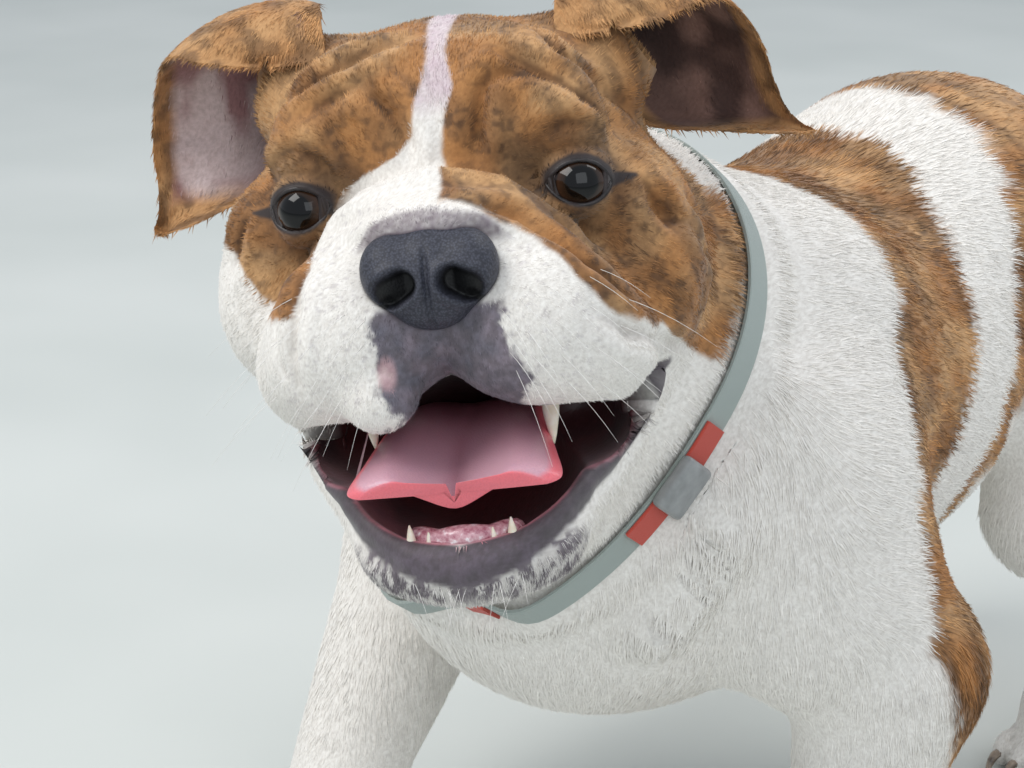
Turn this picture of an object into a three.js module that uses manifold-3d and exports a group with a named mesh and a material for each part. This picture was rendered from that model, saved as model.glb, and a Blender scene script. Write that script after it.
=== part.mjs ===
// English bulldog, standing in mid-stride, with its head turned to its left, its mouth open and its
// tongue out.
// Millimetres, +Z up. It faces -Y and +X is its left. The origin is on the floor, below the middle of the
// whole animal.
import * as THREE from "three";
import { mergeVertices } from "three/addons/utils/BufferGeometryUtils.js";
import Module from "manifold-3d";

const wasm = await Module();
wasm.setup();

// Driving dimensions
const WITHERS = 365;
const SHOULDER_WIDTH = 300;
const BODY_LENGTH = 480;
const HEAD_WIDTH = 194;
const EYE_SPACING = 104;
const EYE_RADIUS = 13.2;
const NOSE_WIDTH = 49;
const COLLAR_WIDTH = 15;
const COLLAR_DEPTH = 3;
const GAP = 0.3;

// Where the head's own frame sits. Its origin is midway between the ears at the height of the eyes.
const HEAD_AT = [18, -142, 397];
const HEAD_TURN = 35.5;
const HEAD_LIFT = 12;
const HEAD_ROLL = -7.1;

// Where the collar's middle is and how far its band leans back from level.
const COLLAR_MIDDLE = [8, -74, 302];
const COLLAR_LEAN = 54;

// The clasp's length, thickness and height, how far its middle stands off the neck, and how many degrees
// round the collar it sits, from the dog's left towards its back.
const CLASP = [40, 13, 19];
const CLASP_LIFT = 4.5;
const CLASP_ANGLE = -20;

// The canine teeth: how long they are with their roots, how thick, and where the left ones' middles are
// in the head.
const TOOTH_LENGTH = 21;
const TOOTH_RADIUS = 3.6;
const LOWER_TOOTH = [19, -95, -122];
const UPPER_TOOTH = [35, -66, -90];

// Proportions that follow from the driving dimensions
const CHEST_Z = 0.64 * WITHERS;
const CHEST_HALF = 0.385 * SHOULDER_WIDTH;
const CHEST_FRONT = -0.26 * BODY_LENGTH;
const RUMP_BACK = 0.74 * BODY_LENGTH;
const LEG_X = 0.4 * SHOULDER_WIDTH;
const HIND_X = 0.28 * SHOULDER_WIDTH;
const ELBOW_Z = 0.44 * WITHERS;
const CHEEK_X = 0.31 * HEAD_WIDTH;
const EYE_X = EYE_SPACING / 2;
const NOSE_X = NOSE_WIDTH / 2;
const LID = 2.3;

const DEG = Math.PI / 180;

// Forms. Each is a function of a point [x, y, z] that gives the distance to a surface, negative inside.

const lerp = (a, b, t) => a + (b - a) * t;

// The nearer of two surfaces, with the crease between them filled over a width of about k.
const soft = (a, b, k) =>
  Math.min(a, b) - Math.max(k - Math.abs(a - b), 0) ** 2 / (4 * k);

// A surface with another one carved out of it, with a rounded edge.
const carved = (a, b, k) => -soft(-a, b, k);

function egg([cx, cy, cz], [rx, ry, rz]) {
  return ([x, y, z]) => {
    const u = [(x - cx) / rx, (y - cy) / ry, (z - cz) / rz];
    const k0 = Math.hypot(...u);
    const k1 = Math.hypot(u[0] / rx, u[1] / ry, u[2] / rz);
    return k1 === 0 ? -Math.min(rx, ry, rz) : (k0 * (k0 - 1)) / k1;
  };
}

// A row of joined tapering limbs through points [x, y, z, radius].
function chain(...stations) {
  return (p) => {
    let nearest = Infinity;
    for (let i = 1; i < stations.length; i++) {
      const a = stations[i - 1];
      const b = stations[i];
      const ab = [b[0] - a[0], b[1] - a[1], b[2] - a[2]];
      const ap = [p[0] - a[0], p[1] - a[1], p[2] - a[2]];
      const length2 = ab[0] ** 2 + ab[1] ** 2 + ab[2] ** 2;
      const along = (ap[0] * ab[0] + ap[1] * ab[1] + ap[2] * ab[2]) / length2;
      const t = THREE.MathUtils.clamp(along, 0, 1);
      const off = Math.hypot(ap[0] - ab[0] * t, ap[1] - ab[1] * t, ap[2] - ab[2] * t);
      nearest = Math.min(nearest, off - lerp(a[3], b[3], t));
    }
    return nearest;
  };
}

// The same form on both sides of the middle plane.
const pair = (form) => (p) => form([Math.abs(p[0]), p[1], p[2]]);

// Forms joined one after another, each with the width of its crease.
const joined =
  (first, ...rest) =>
  (p) =>
    rest.reduce((d, [form, k]) => soft(d, form(p), k), first(p));

// A form that is made in a turned and shifted frame, read in the frame around it.
function placed(form, matrix) {
  const back = matrix.clone().invert();
  const v = new THREE.Vector3();
  return (p) => {
    v.set(...p).applyMatrix4(back);
    return form([v.x, v.y, v.z]);
  };
}

// The head's forms, in its own frame

const NOSE_ROPE = chain(
  [0, -76, 6, 7],
  [24, -72, 0, 7],
  [44, -63, -18, 7],
  [62, -48, -40, 7],
  [72, -26, -56, 6],
);
const FACE = joined(
  egg([0, 12, 16], [76, 76, 56]),
  [pair(egg([29, -34, 36], [29, 26, 27])), 14],
  [pair(egg([EYE_X - 6, -45, 21], [21, 15, 13])), 10],
  [pair(egg([64, -18, -8], [27, 34, 24])), 14],
  [pair(egg([CHEEK_X, 8, -38], [37, 54, 48])), 20],
  [egg([0, -66, -30], [50, 40, 38]), 12],
  [egg([0, -86, -10], [27, 24, 13]), 8],
  [pair(egg([32, -81, -48], [35, 31, 33])), 8],
  [pair(egg([52, -54, -60], [26, 42, 27])), 12],
  [pair(NOSE_ROPE), 8],
  [egg([-24, -97, -71], [15, 14, 14]), 6],
);
const LIDS = pair(egg([EYE_X, -50, 0], [EYE_RADIUS + LID, EYE_RADIUS + LID, EYE_RADIUS + LID]));
const FURROW = chain([0, -66, 24, 1], [0, -57, 44, 2], [0, -38, 68, 2]);
const MOUTH = joined(
  egg([0, -52, -102], [44, 62, 34]),
  [egg([2, -114, -86], [13, 22, 20]), 6],
);
const HEAD = (p) => carved(carved(soft(FACE(p), LIDS(p), 4), FURROW(p), 6), MOUTH(p), 4);

const LOWER_LIP = chain(
  [0, -99, -137, 5],
  [19, -95, -131, 5],
  [36, -79, -119, 5],
  [55, -50, -104, 6],
  [74, -14, -82, 6],
);
const JAW_FLESH = joined(
  egg([0, -78, -135], [35, 24, 19]),
  [egg([0, -40, -131], [43, 54, 22]), 16],
  [pair(chain([28, -68, -130, 15], [52, -22, -102, 17], [62, 16, -66, 22])), 14],
  [pair(LOWER_LIP), 6],
  [egg([0, 18, -92], [54, 54, 38]), 22],
);
const JAW_BOWL = joined(
  egg([0, -58, -102], [31, 44, 24]),
  [pair(egg([42, -44, -90], [22, 42, 18])), 12],
);
const JAW = (p) => carved(JAW_FLESH(p), JAW_BOWL(p), 4);

const LEATHER = joined(
  egg([0, -104, -28], [0.76 * NOSE_X, 14, 19]),
  [pair(egg([0.6 * NOSE_X, -105, -24], [0.44 * NOSE_X, 12, 13])), 5],
);

// The body's forms

const headMatrix = new THREE.Matrix4().compose(
  new THREE.Vector3(...HEAD_AT),
  new THREE.Quaternion().setFromEuler(
    new THREE.Euler(-HEAD_LIFT * DEG, HEAD_ROLL * DEG, HEAD_TURN * DEG, "ZXY"),
  ),
  new THREE.Vector3(1, 1, 1),
);

const TRUNK = joined(
  egg([0, 20, CHEST_Z], [CHEST_HALF, 132, 108]),
  [egg([0, CHEST_FRONT + 72, 222], [92, 74, 82]), 40],
  [pair(egg([62, 34, 290], [56, 76, 66])), 30],
  [egg([0, 130, 254], [112, 120, 104]), 40],
  [egg([0, 228, 296], [88, 100, 86]), 40],
  [egg([0, RUMP_BACK - 90, 286], [94, 90, 86]), 40],
);

const NECK = joined(
  chain([0, 30, 272, 96], [8, -66, 322, 92], [10, -112, 358, 84]),
  [chain([4, -60, 262, 72], [16, -122, 300, 58]), 30],
);

// Each foreleg from its shoulder down. step moves its paw forwards.
function foreleg(side, step) {
  const x = side * LEG_X;
  const upper = chain([side * 112, 8, 196, 48], [x * 1.06, 22 - 0.3 * step, ELBOW_Z, 45]);
  const lower = chain(
    [x * 1.06, 18 - 0.3 * step, ELBOW_Z, 43],
    [x * 1.02, -2 - 0.8 * step, 76, 31],
    [x, -10 - step, 34, 29],
  );
  return joined(egg([side * 104, -4, 232], [48, 62, 84]), [upper, 20], [lower, 12]);
}

// Each hind leg from its haunch down.
function hindleg(side, step) {
  const x = side * HIND_X;
  const back = RUMP_BACK - 70;
  const upper = chain([side * 88, back - 28, 210, 50], [x * 1.1, back - 36 - 0.3 * step, 166, 38]);
  const lower = chain(
    [x * 1.1, back - 36 - 0.3 * step, 166, 36],
    [x, back + 44 - step, 96, 21],
    [x, back + 26 - step, 34, 22],
  );
  return joined(egg([side * 78, back, 248], [46, 74, 88]), [upper, 20], [lower, 12]);
}

// Each limb has its form, its paw's place and size, and the top of its path inside the trunk.
const foreLimb = (side, step) => ({
  form: foreleg(side, step),
  paw: [side * LEG_X, -22 - step, 1],
  top: [side * 104, -4, 262],
});
const hindLimb = (side, step) => ({
  form: hindleg(side, step),
  paw: [side * HIND_X, RUMP_BACK - 58 - step, 0.9],
  top: [side * 78, RUMP_BACK - 70, 272],
});
const LIMBS = {
  foreleg_left: foreLimb(1, -20),
  foreleg_right: foreLimb(-1, 80),
  hindleg_left: hindLimb(1, 30),
  hindleg_right: hindLimb(-1, -30),
};

// Meshes wrapped onto forms

// How far a ray goes from a point inside a form before it comes out, at most far.
function reach(form, from, way, far) {
  const at = (r) => form([from[0] + way[0] * r, from[1] + way[1] * r, from[2] + way[2] * r]);
  const step = 2.5;
  let low = 0;
  let high = step;
  while (high < far && at(high) < 0) {
    low = high;
    high += step;
  }
  if (high >= far) return far;
  for (let i = 0; i < 12; i++) {
    const mid = (low + high) / 2;
    if (at(mid) < 0) low = mid;
    else high = mid;
  }
  return low;
}

// A ball's mesh, stretched from its centre onto a form. Its poles lie on the Y axis, and crowd > 1 draws
// its rings towards -Y.
function wrapBall(form, centre, slices, rings, { crowd = 1, far = 200, grow = 0 } = {}) {
  const geometry = new THREE.SphereGeometry(1, slices, rings);
  const grown = (p) => form(p) - grow;
  const spots = geometry.attributes.position;
  for (let i = 0; i < spots.count; i++) {
    const spin = Math.atan2(spots.getZ(i), spots.getX(i));
    const share = Math.acos(THREE.MathUtils.clamp(spots.getY(i), -1, 1)) / Math.PI;
    const polar = Math.PI * share ** crowd;
    const ring = Math.sin(polar) < 1e-9 ? 0 : Math.sin(polar);
    const way = [Math.cos(spin) * ring, -Math.cos(polar), Math.sin(spin) * ring];
    const r = reach(grown, centre, way, far);
    spots.setXYZ(i, centre[0] + way[0] * r, centre[1] + way[1] * r, centre[2] + way[2] * r);
  }
  return geometry;
}

// A ball's mesh, drawn out along a path that lies inside a form and stretched square to the path onto it.
// cap is the share of its rings that fans out from each end of the path.
function wrapAlong(form, path, slices, rings, { far = 200, grow = 0, side = [1, 0, 0], cap = 0.2 } = {}) {
  const geometry = new THREE.SphereGeometry(1, slices, rings);
  const curve = new THREE.CatmullRomCurve3(path.map((p) => new THREE.Vector3(...p)));
  const sideways = new THREE.Vector3(...side);
  const grown = (p) => form(p) - grow;
  const spots = geometry.attributes.position;
  for (let i = 0; i < spots.count; i++) {
    const spin = Math.atan2(spots.getZ(i), spots.getX(i));
    const share = Math.acos(THREE.MathUtils.clamp(spots.getY(i), -1, 1)) / Math.PI;
    const t = THREE.MathUtils.clamp((share - cap) / (1 - 2 * cap), 0, 1);
    const tilt = ((Math.max(share - 1 + cap, 0) - Math.max(cap - share, 0)) / cap) * (Math.PI / 2);
    const at = curve.getPointAt(t);
    const along = curve.getTangentAt(t);
    const across = sideways.clone().addScaledVector(along, -along.dot(sideways)).normalize();
    const up = along.clone().cross(across);
    const ring = Math.abs(Math.cos(tilt)) < 1e-6 ? 0 : Math.cos(tilt);
    const way = across
      .multiplyScalar(Math.cos(spin) * ring)
      .addScaledVector(up, Math.sin(spin) * ring)
      .addScaledVector(along, Math.sin(tilt))
      .toArray();
    const r = reach(grown, at.toArray(), way, far);
    spots.setXYZ(i, at.x + way[0] * r, at.y + way[1] * r, at.z + way[2] * r);
  }
  return geometry;
}

// A bent leaf, such as an ear or a tongue. Each rib across it has a middle, the way to its edge, the way
// its outside faces, a half width, a hollow (how far its middle stands out from its edges) and a
// thickness. bend gives the share of the hollow at each place across, from -1 to 1.
function leaf(ribs, across, along, bend = (v) => 1 - v * v) {
  const geometry = new THREE.SphereGeometry(1, along, across);
  const track = (key) => new THREE.CatmullRomCurve3(ribs.map((rib) => new THREE.Vector3(...rib[key])));
  const [middles, sides, faces, sizes] = ["at", "side", "face", "size"].map(track);
  const spots = geometry.attributes.position;
  for (let i = 0; i < spots.count; i++) {
    const x = spots.getX(i);
    const y = spots.getY(i);
    const z = spots.getZ(i);
    const t = (1 - y) / 2;
    const rim = Math.sqrt(Math.max(1 - y * y, 0));
    const v = rim < 1e-6 ? 0 : x / rim;
    const w = rim < 1e-6 ? 0 : z / rim;
    const at = middles.getPoint(t);
    const side = sides.getPoint(t).normalize();
    const face = faces.getPoint(t);
    face.addScaledVector(side, -face.dot(side)).normalize();
    const size = sizes.getPoint(t);
    const taper = Math.min(1, rim * 2.2);
    at.addScaledVector(side, v * size.x * taper);
    at.addScaledVector(face, size.y * bend(v) + (w * size.z * taper) / 2);
    spots.setXYZ(i, at.x, at.y, at.z);
  }
  return geometry;
}

// Solids

function solid(geometry) {
  const bare = geometry.index ? geometry.toNonIndexed() : geometry.clone();
  for (const name of Object.keys(bare.attributes)) {
    if (name !== "position") bare.deleteAttribute(name);
  }
  const merged = mergeVertices(bare, 1e-4);
  const triVerts = new Uint32Array(merged.index.array);
  const vertProperties = merged.attributes.position.array;
  const made = new wasm.Manifold(new wasm.Mesh({ numProp: 3, vertProperties, triVerts }));
  if (made.volume() >= 0) return made;
  for (let i = 0; i < triVerts.length; i += 3) {
    [triVerts[i + 1], triVerts[i + 2]] = [triVerts[i + 2], triVerts[i + 1]];
  }
  return new wasm.Manifold(new wasm.Mesh({ numProp: 3, vertProperties, triVerts }));
}

const largest = (made) => made.decompose().sort((a, b) => b.volume() - a.volume())[0];

const without = (made, ...cutters) => cutters.reduce((left, cutter) => left.subtract(cutter), made);

const moved = (made, matrix) => made.transform(matrix.elements);

function meshOf(name, made, material) {
  const { numProp, numVert, vertProperties, triVerts } = largest(made).getMesh();
  const positions = new Float32Array(numVert * 3);
  for (let i = 0; i < numVert; i++) {
    positions.set(vertProperties.subarray(i * numProp, i * numProp + 3), i * 3);
  }
  const geometry = new THREE.BufferGeometry()
    .setAttribute("position", new THREE.BufferAttribute(positions, 3))
    .setIndex(new THREE.BufferAttribute(triVerts, 1));
  const mesh = new THREE.Mesh(geometry, material);
  mesh.name = name;
  return mesh;
}

// Materials

const paint = (color, roughness) => new THREE.MeshStandardMaterial({ color, roughness, metalness: 0 });
const white = paint(0xe9e6e0, 0.85);
const brindle = paint(0x9a6a3c, 0.85);
const darkSkin = paint(0x2b2a30, 0.55);
const tonguePink = paint(0xc9707a, 0.4);
const eyeDark = paint(0x17110e, 0.08);
const sage = paint(0x9fb0a6, 0.7);
const coral = paint(0xe0533f, 0.6);

const ball = (centre, radius, slices, rings) =>
  new THREE.SphereGeometry(radius, slices, rings).translate(...centre);

// The head

const HEAD_CENTRE = [0, -22, -12];
const headShape = (grow) => solid(wrapBall(HEAD, HEAD_CENTRE, 42, 32, { crowd: 1.3, grow }));
const eyeAt = (side) => [side * EYE_X, -50, 0];

// An almond-shaped plug that opens the lids in front of one eye.
function almond(side) {
  const halfWidth = 12.5;
  const halfHeight = 8.6;
  const radius = (halfWidth ** 2 + halfHeight ** 2) / (2 * halfHeight);
  const sweep = Math.asin(halfWidth / radius);
  const outline = new THREE.Shape();
  outline.absarc(0, halfHeight - radius, radius, Math.PI / 2 - sweep, Math.PI / 2 + sweep, false);
  outline.absarc(0, radius - halfHeight, radius, -Math.PI / 2 - sweep, -Math.PI / 2 + sweep, false);
  return solid(
    new THREE.ExtrudeGeometry(outline, { depth: 30, bevelEnabled: false, curveSegments: 6 })
      .rotateX(Math.PI / 2)
      .rotateY(side * 4 * DEG)
      .rotateZ(side * 14 * DEG)
      .translate(...eyeAt(side)),
  );
}

const headSolid = without(
  headShape(0),
  ...[1, -1].flatMap((side) => [solid(ball(eyeAt(side), EYE_RADIUS + GAP, 18, 12)), almond(side)]),
);

const jawShape = (grow) => solid(wrapBall(JAW, [0, -45, -141], 32, 20, { grow }));

// A canine on each side, pointing up (1) or down (-1).
const canines = ([x, y, z], up, grow) =>
  [1, -1].map((side) =>
    solid(
      new THREE.ConeGeometry(TOOTH_RADIUS + grow, TOOTH_LENGTH + 2 * grow, 8)
        .rotateX((up * Math.PI) / 2)
        .translate(side * x, y, z),
    ));
const withTeeth = (made, teeth) => teeth.reduce((whole, tooth) => whole.add(tooth), made);
const jawSolid = withTeeth(without(jawShape(0), headShape(GAP)), canines(LOWER_TOOTH, 1, 0));

const NOSTRIL = chain([6, -124, -22, 3.4], [10, -112, -25, 3.6], [16, -118, -33, 2.4]);
function nostril(side) {
  const path = [[side * 6, -123, -22], [side * 8, -118, -24], [side * 10, -113, -25]];
  return solid(wrapAlong(pair(NOSTRIL), path, 10, 8, { far: 6 }));
}
const leather = solid(wrapBall(LEATHER, [0, -102, -27], 26, 16));
const noseSolid = without(leather, headShape(GAP), nostril(1), nostril(-1));

// The tongue from its root to its tip. Across its tip it rises from a groove to a lobe on each side.
const TONGUE_RIBS = [
  { at: [0, 14, -100], side: [1, 0, 0], face: [0, 0, 1], size: [20, -2, 10] },
  { at: [0, -14, -88], side: [1, 0, 0], face: [0, -0.2, 1], size: [27, -4, 13] },
  { at: [0, -50, -88], side: [1, 0, 0], face: [0, -0.2, 1], size: [31, -6, 12] },
  { at: [0, -80, -95], side: [1, 0, 0], face: [0, -0.3, 1], size: [37, -11, 9] },
  { at: [0, -102, -100], side: [1, 0, 0], face: [0, -0.3, 1], size: [41, -16, 7] },
  { at: [0, -108, -103], side: [1, 0, 0], face: [0, -0.5, 1], size: [39, -16, 6] },
];
const LOBE = 0.62;
const lobes = (v) =>
  Math.max(0, 1 - Math.abs(v) / LOBE) ** 1.3 + 0.33 * (Math.max(0, Math.abs(v) - LOBE) / (1 - LOBE)) ** 2;
const tongueSolid = without(
  solid(leaf(TONGUE_RIBS, 24, 18, lobes)),
  jawShape(GAP),
  headShape(GAP),
  ...canines(LOWER_TOOTH, 1, GAP),
  ...canines(UPPER_TOOTH, -1, GAP),
);

// The left ear, from the front edge of its fold over the top and down its back wall to its tip. The right
// one is its mirror image with its tip lower.
const earRibs = (side, tip) => [
  { at: [side * 70, -8, 58], side: [1, 0, side * 0.1], face: [0, -0.7, 0.7], size: [24, 5, 3.2] },
  { at: [side * 78, 2, 70], side: [1, 0, -side * 0.1], face: [0, -0.3, 1], size: [31, 7, 3.6] },
  { at: [side * 85, 18, 72], side: [1, 0, -side * 0.3], face: [side * 0.2, 0.3, 1], size: [36, 9, 4] },
  { at: [side * 93, 34, 58], side: [1, 0, -side * 0.3], face: [0, 1, 0.5], size: [36, 12, 4] },
  { at: [side * 97, 40, 38], side: [1, 0, -side * 0.2], face: [0, 1, 0], size: [35, 13, 4] },
  { at: [side * (101 + 0.4 * tip), 40, 18 + 0.3 * tip], side: [1, 0, 0], face: [0, 1, 0], size: [30, 12, 4] },
  { at: [side * (115 + tip), 35, 4 + tip], side: [1, 0, 0], face: [0, 1, 0], size: [16, 6, 3.4] },
  { at: [side * (129 + 1.3 * tip), 30, -5 + 1.5 * tip], side: [1, 0, 0], face: [0, 1, 0], size: [5, 2, 3] },
];
const earSolid = (side, tip) => without(solid(leaf(earRibs(side, tip), 20, 16)), headShape(GAP));

const head = new THREE.Group();
head.applyMatrix4(headMatrix);
head.add(
  meshOf("head", withTeeth(headSolid, canines(UPPER_TOOTH, -1, 0)), brindle),
  meshOf("lower_jaw", jawSolid, white),
  meshOf("nose", noseSolid, darkSkin),
  meshOf("tongue", tongueSolid, tonguePink),
  meshOf("eye_left", solid(ball(eyeAt(1), EYE_RADIUS, 16, 10)), eyeDark),
  meshOf("eye_right", solid(ball(eyeAt(-1), EYE_RADIUS, 16, 10)), eyeDark),
  meshOf("ear_left", earSolid(1, 10), brindle),
  meshOf("ear_right", earSolid(-1, 0), brindle),
);

// The body

const TRUNK_PATH = [[0, CHEST_FRONT + 66, 222], [0, 60, 240], [0, 170, 262], [0, RUMP_BACK - 84, 282]];
const trunkShape = (grow) => solid(wrapAlong(TRUNK, TRUNK_PATH, 24, 24, { grow }));

const NECK_PATH = [[0, 40, 262], [4, -20, 294], [8, -66, 322], [10, -112, 356]];
const neckShape = (grow) => solid(wrapAlong(NECK, NECK_PATH, 22, 12, { far: 150, grow }));

// The neck and the trunk keep clear of the head, the jaw and the open mouth between them.
const mouthSpace = solid(wrapBall(joined(MOUTH, [JAW_BOWL, 10]), [0, -55, -98], 24, 16, { grow: 3 }));
const headCutters = [headShape(GAP), jawShape(GAP), mouthSpace].map((made) => moved(made, headMatrix));
const neckSolid = without(neckShape(0), trunkShape(GAP), ...headCutters);

// The collar is a band cut from the neck's own shape, square to the neck, with its clasp at the dog's
// left.
const COLLAR_AT = new THREE.Matrix4()
  .makeRotationX(COLLAR_LEAN * DEG)
  .setPosition(...COLLAR_MIDDLE);
const band = moved(solid(new THREE.BoxGeometry(400, 400, COLLAR_WIDTH)), COLLAR_AT);
const THROAT = joined(NECK, [TRUNK, 30]);
const throatShape = solid(wrapAlong(THROAT, NECK_PATH, 36, 24, { far: 150, grow: COLLAR_DEPTH }));
const strapSolid = without(
  throatShape.intersect(band),
  neckShape(GAP),
  trunkShape(GAP),
  ...headCutters,
);

const floorCut = solid(new THREE.BoxGeometry(2000, 2000, 400).translate(0, 0, -200));

// One paw: four toes with claws, and its pad cut flat on the floor.
function paw([x, y, size], grow) {
  const toes = [-1.5, -0.5, 0.5, 1.5].map((k) => {
    const toe = [k * 14.5, -14 + Math.abs(k) * 5, 13];
    return [egg(toe, [9.5, 17, 13]), 4];
  });
  const form = joined(egg([0, 10, 20], [26, 27, 20]), [egg([0, 16, 38], [24, 22, 26]), 12], ...toes);
  const shape = solid(wrapBall(form, [0, 4, 17], 20, 12, { crowd: 1.2, grow }));
  const claws = grow ? [] : [-1.5, -0.5, 0.5, 1.5].map((k) =>
    solid(
      new THREE.ConeGeometry(3, 15, 6)
        .rotateX(Math.PI * 0.62)
        .translate(k * 14.5, -33 + Math.abs(k) * 5, 9),
    ));
  const whole = claws.reduce((made, claw) => made.add(claw), shape);
  const matrix = new THREE.Matrix4().makeScale(size, size, size).setPosition(x, y, -2);
  return moved(whole, matrix).subtract(floorCut);
}

// The way out of the collar's middle at an angle round it, from the dog's left towards its back.
const collarWay = (angle) =>
  new THREE.Vector3(
    Math.cos(angle),
    Math.sin(angle) * Math.cos(COLLAR_LEAN * DEG),
    Math.sin(angle) * Math.sin(COLLAR_LEAN * DEG),
  );

// The collar's clasp, a flat block with rounded ends that lies along the strap.
function claspShape(grow) {
  const [length, thickness, height] = CLASP.map((size) => size + 2 * grow);
  const form = new THREE.CapsuleGeometry(height / 2, length - height, 4, 12)
    .rotateZ(Math.PI / 2)
    .scale(1, thickness / height, 1);
  const out = collarWay(CLASP_ANGLE * DEG);
  const along = collarWay(CLASP_ANGLE * DEG + Math.PI / 2);
  const radius = reach(THROAT, COLLAR_MIDDLE, out.toArray(), 200) + CLASP_LIFT;
  const middle = new THREE.Vector3(...COLLAR_MIDDLE).addScaledVector(out, radius);
  const matrix = new THREE.Matrix4().makeBasis(along, out, along.clone().cross(out)).setPosition(middle);
  return moved(solid(form), matrix);
}

const dog = new THREE.Group();
dog.add(
  head,
  meshOf("torso", without(trunkShape(0), ...headCutters), white),
  meshOf("neck", neckSolid, white),
  meshOf("collar", strapSolid.subtract(claspShape(GAP)), sage),
  meshOf("collar_clasp", without(claspShape(0), neckShape(GAP), trunkShape(GAP)), coral),
);
for (const [name, limb] of Object.entries(LIMBS)) {
  const [x, y, size] = limb.paw;
  const [topX, topY, topZ] = limb.top;
  const elbow = [x * 1.05, lerp(topY, y + 12, 0.3), ELBOW_Z];
  const path = [[topX, topY, topZ], elbow, [x, y + 16, 70], [x, y + 12, 26]];
  const leg = solid(wrapAlong(limb.form, path, 14, 16, { far: 110, side: [0, 1, 0] }));
  const legSolid = without(leg, trunkShape(GAP), neckShape(GAP), claspShape(GAP), paw(limb.paw, GAP));
  dog.add(meshOf(name, legSolid, white));
  dog.add(meshOf(name.replace("leg", "paw"), paw(limb.paw, 0), white));
}

const TAIL_STATIONS = [
  [0, RUMP_BACK - 16, 296, 17],
  [4, RUMP_BACK + 12, 288, 14],
  [10, RUMP_BACK + 26, 268, 10],
  [14, RUMP_BACK + 28, 246, 6],
];
const tailPath = TAIL_STATIONS.map(([x, y, z]) => [x, y, z]);
const tail = solid(wrapAlong(chain(...TAIL_STATIONS), tailPath, 10, 10, { far: 30 }));
dog.add(meshOf("tail", tail.subtract(trunkShape(GAP)), brindle));

const box = new THREE.Box3().setFromObject(dog, true);
const middle = box.getCenter(new THREE.Vector3());
dog.position.set(-middle.x, -middle.y, 0);
const bulldog = new THREE.Group();
bulldog.add(dog);

export default bulldog;
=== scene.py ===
# A standing English bulldog, dressed over the solids of the frame
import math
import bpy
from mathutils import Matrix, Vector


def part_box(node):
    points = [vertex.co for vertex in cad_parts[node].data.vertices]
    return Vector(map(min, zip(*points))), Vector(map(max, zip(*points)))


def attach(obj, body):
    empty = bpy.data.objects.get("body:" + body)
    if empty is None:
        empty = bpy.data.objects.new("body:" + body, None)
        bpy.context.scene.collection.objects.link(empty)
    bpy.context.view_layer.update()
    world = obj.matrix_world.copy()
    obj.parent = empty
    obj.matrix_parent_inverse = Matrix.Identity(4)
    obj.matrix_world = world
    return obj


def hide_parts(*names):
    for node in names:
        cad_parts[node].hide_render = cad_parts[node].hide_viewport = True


bl_info = {
    "name": "Bulldog",
    "version": (1, 0, 0),
    "blender": (4, 5, 0),
    "location": "View3D > Sidebar > Bulldog",
    "description": "Builds a life-size English bulldog with its short coat and its collar",
    "category": "Object",
}

import bmesh
import bpy
import numpy as np
from bpy.props import FloatProperty, FloatVectorProperty, IntProperty, PointerProperty
from mathutils import Matrix, Vector

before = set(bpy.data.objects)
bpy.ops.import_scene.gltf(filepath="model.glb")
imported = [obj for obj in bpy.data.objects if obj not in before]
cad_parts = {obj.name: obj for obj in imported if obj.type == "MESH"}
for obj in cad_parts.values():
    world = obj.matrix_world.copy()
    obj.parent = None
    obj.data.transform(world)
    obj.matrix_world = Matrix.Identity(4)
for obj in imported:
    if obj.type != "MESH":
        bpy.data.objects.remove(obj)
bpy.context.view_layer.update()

# Sizes of the solids, in millimetres and degrees
WITHERS = 365
SHOULDER_WIDTH = 300
BODY_LENGTH = 480
HEAD_WIDTH = 194
EYE_SPACING = 104
EYE_RADIUS = 13.2
NOSE_WIDTH = 49
HEAD_AT = (18, -142, 397)
HEAD_TURN = 35.5
HEAD_LIFT = 12
HEAD_ROLL = -7.1
COLLAR_WIDTH = 15
COLLAR_MIDDLE = (8, -74, 302)
COLLAR_LEAN = 54
CLASP_ANGLE = -20

CHEST_Z = 0.64 * WITHERS
CHEST_HALF = 0.385 * SHOULDER_WIDTH
CHEST_FRONT = -0.26 * BODY_LENGTH
RUMP_BACK = 0.74 * BODY_LENGTH
LEG_X = 0.4 * SHOULDER_WIDTH
HIND_X = 0.28 * SHOULDER_WIDTH
ELBOW_Z = 0.44 * WITHERS
CHEEK_X = 0.31 * HEAD_WIDTH
EYE_X = EYE_SPACING / 2
NOSE_X = NOSE_WIDTH / 2
LID = 2.3
LOBE = 0.62
LEFT, RIGHT = 1, -1

# The head's own frame: +X is the dog's left and -Y is forwards, and its origin is midway between the ears
HEAD_FRAME = (
    Matrix.Rotation(math.radians(HEAD_TURN), 3, "Z")
    @ Matrix.Rotation(math.radians(-HEAD_LIFT), 3, "X")
    @ Matrix.Rotation(math.radians(HEAD_ROLL), 3, "Y")
)
HEAD_ROWS = np.array(HEAD_FRAME)
HEAD_ORIGIN = np.array(HEAD_AT, float)


def box_middle(node):
    """The middle of a solid, in millimetres in the row frame."""
    low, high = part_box(node)
    return np.array((low + high) / 2) * 1000


# How far the body's frame is shifted in the row frame, found from the eyes
EYES_MIDDLE = (box_middle("eye_left") + box_middle("eye_right")) / 2
SHIFT = EYES_MIDDLE - (HEAD_ORIGIN + HEAD_ROWS @ np.array((0, -50, 0)))


def in_head(points):
    """Points of the body's frame, seen in the head's frame."""
    return (points - HEAD_ORIGIN) @ HEAD_ROWS


def from_head(points):
    """Points of the head's frame, seen in the body's frame."""
    return np.asarray(points, float) @ HEAD_ROWS.T + HEAD_ORIGIN


# Forms: functions that give the distance of points to a surface, negative inside


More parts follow.
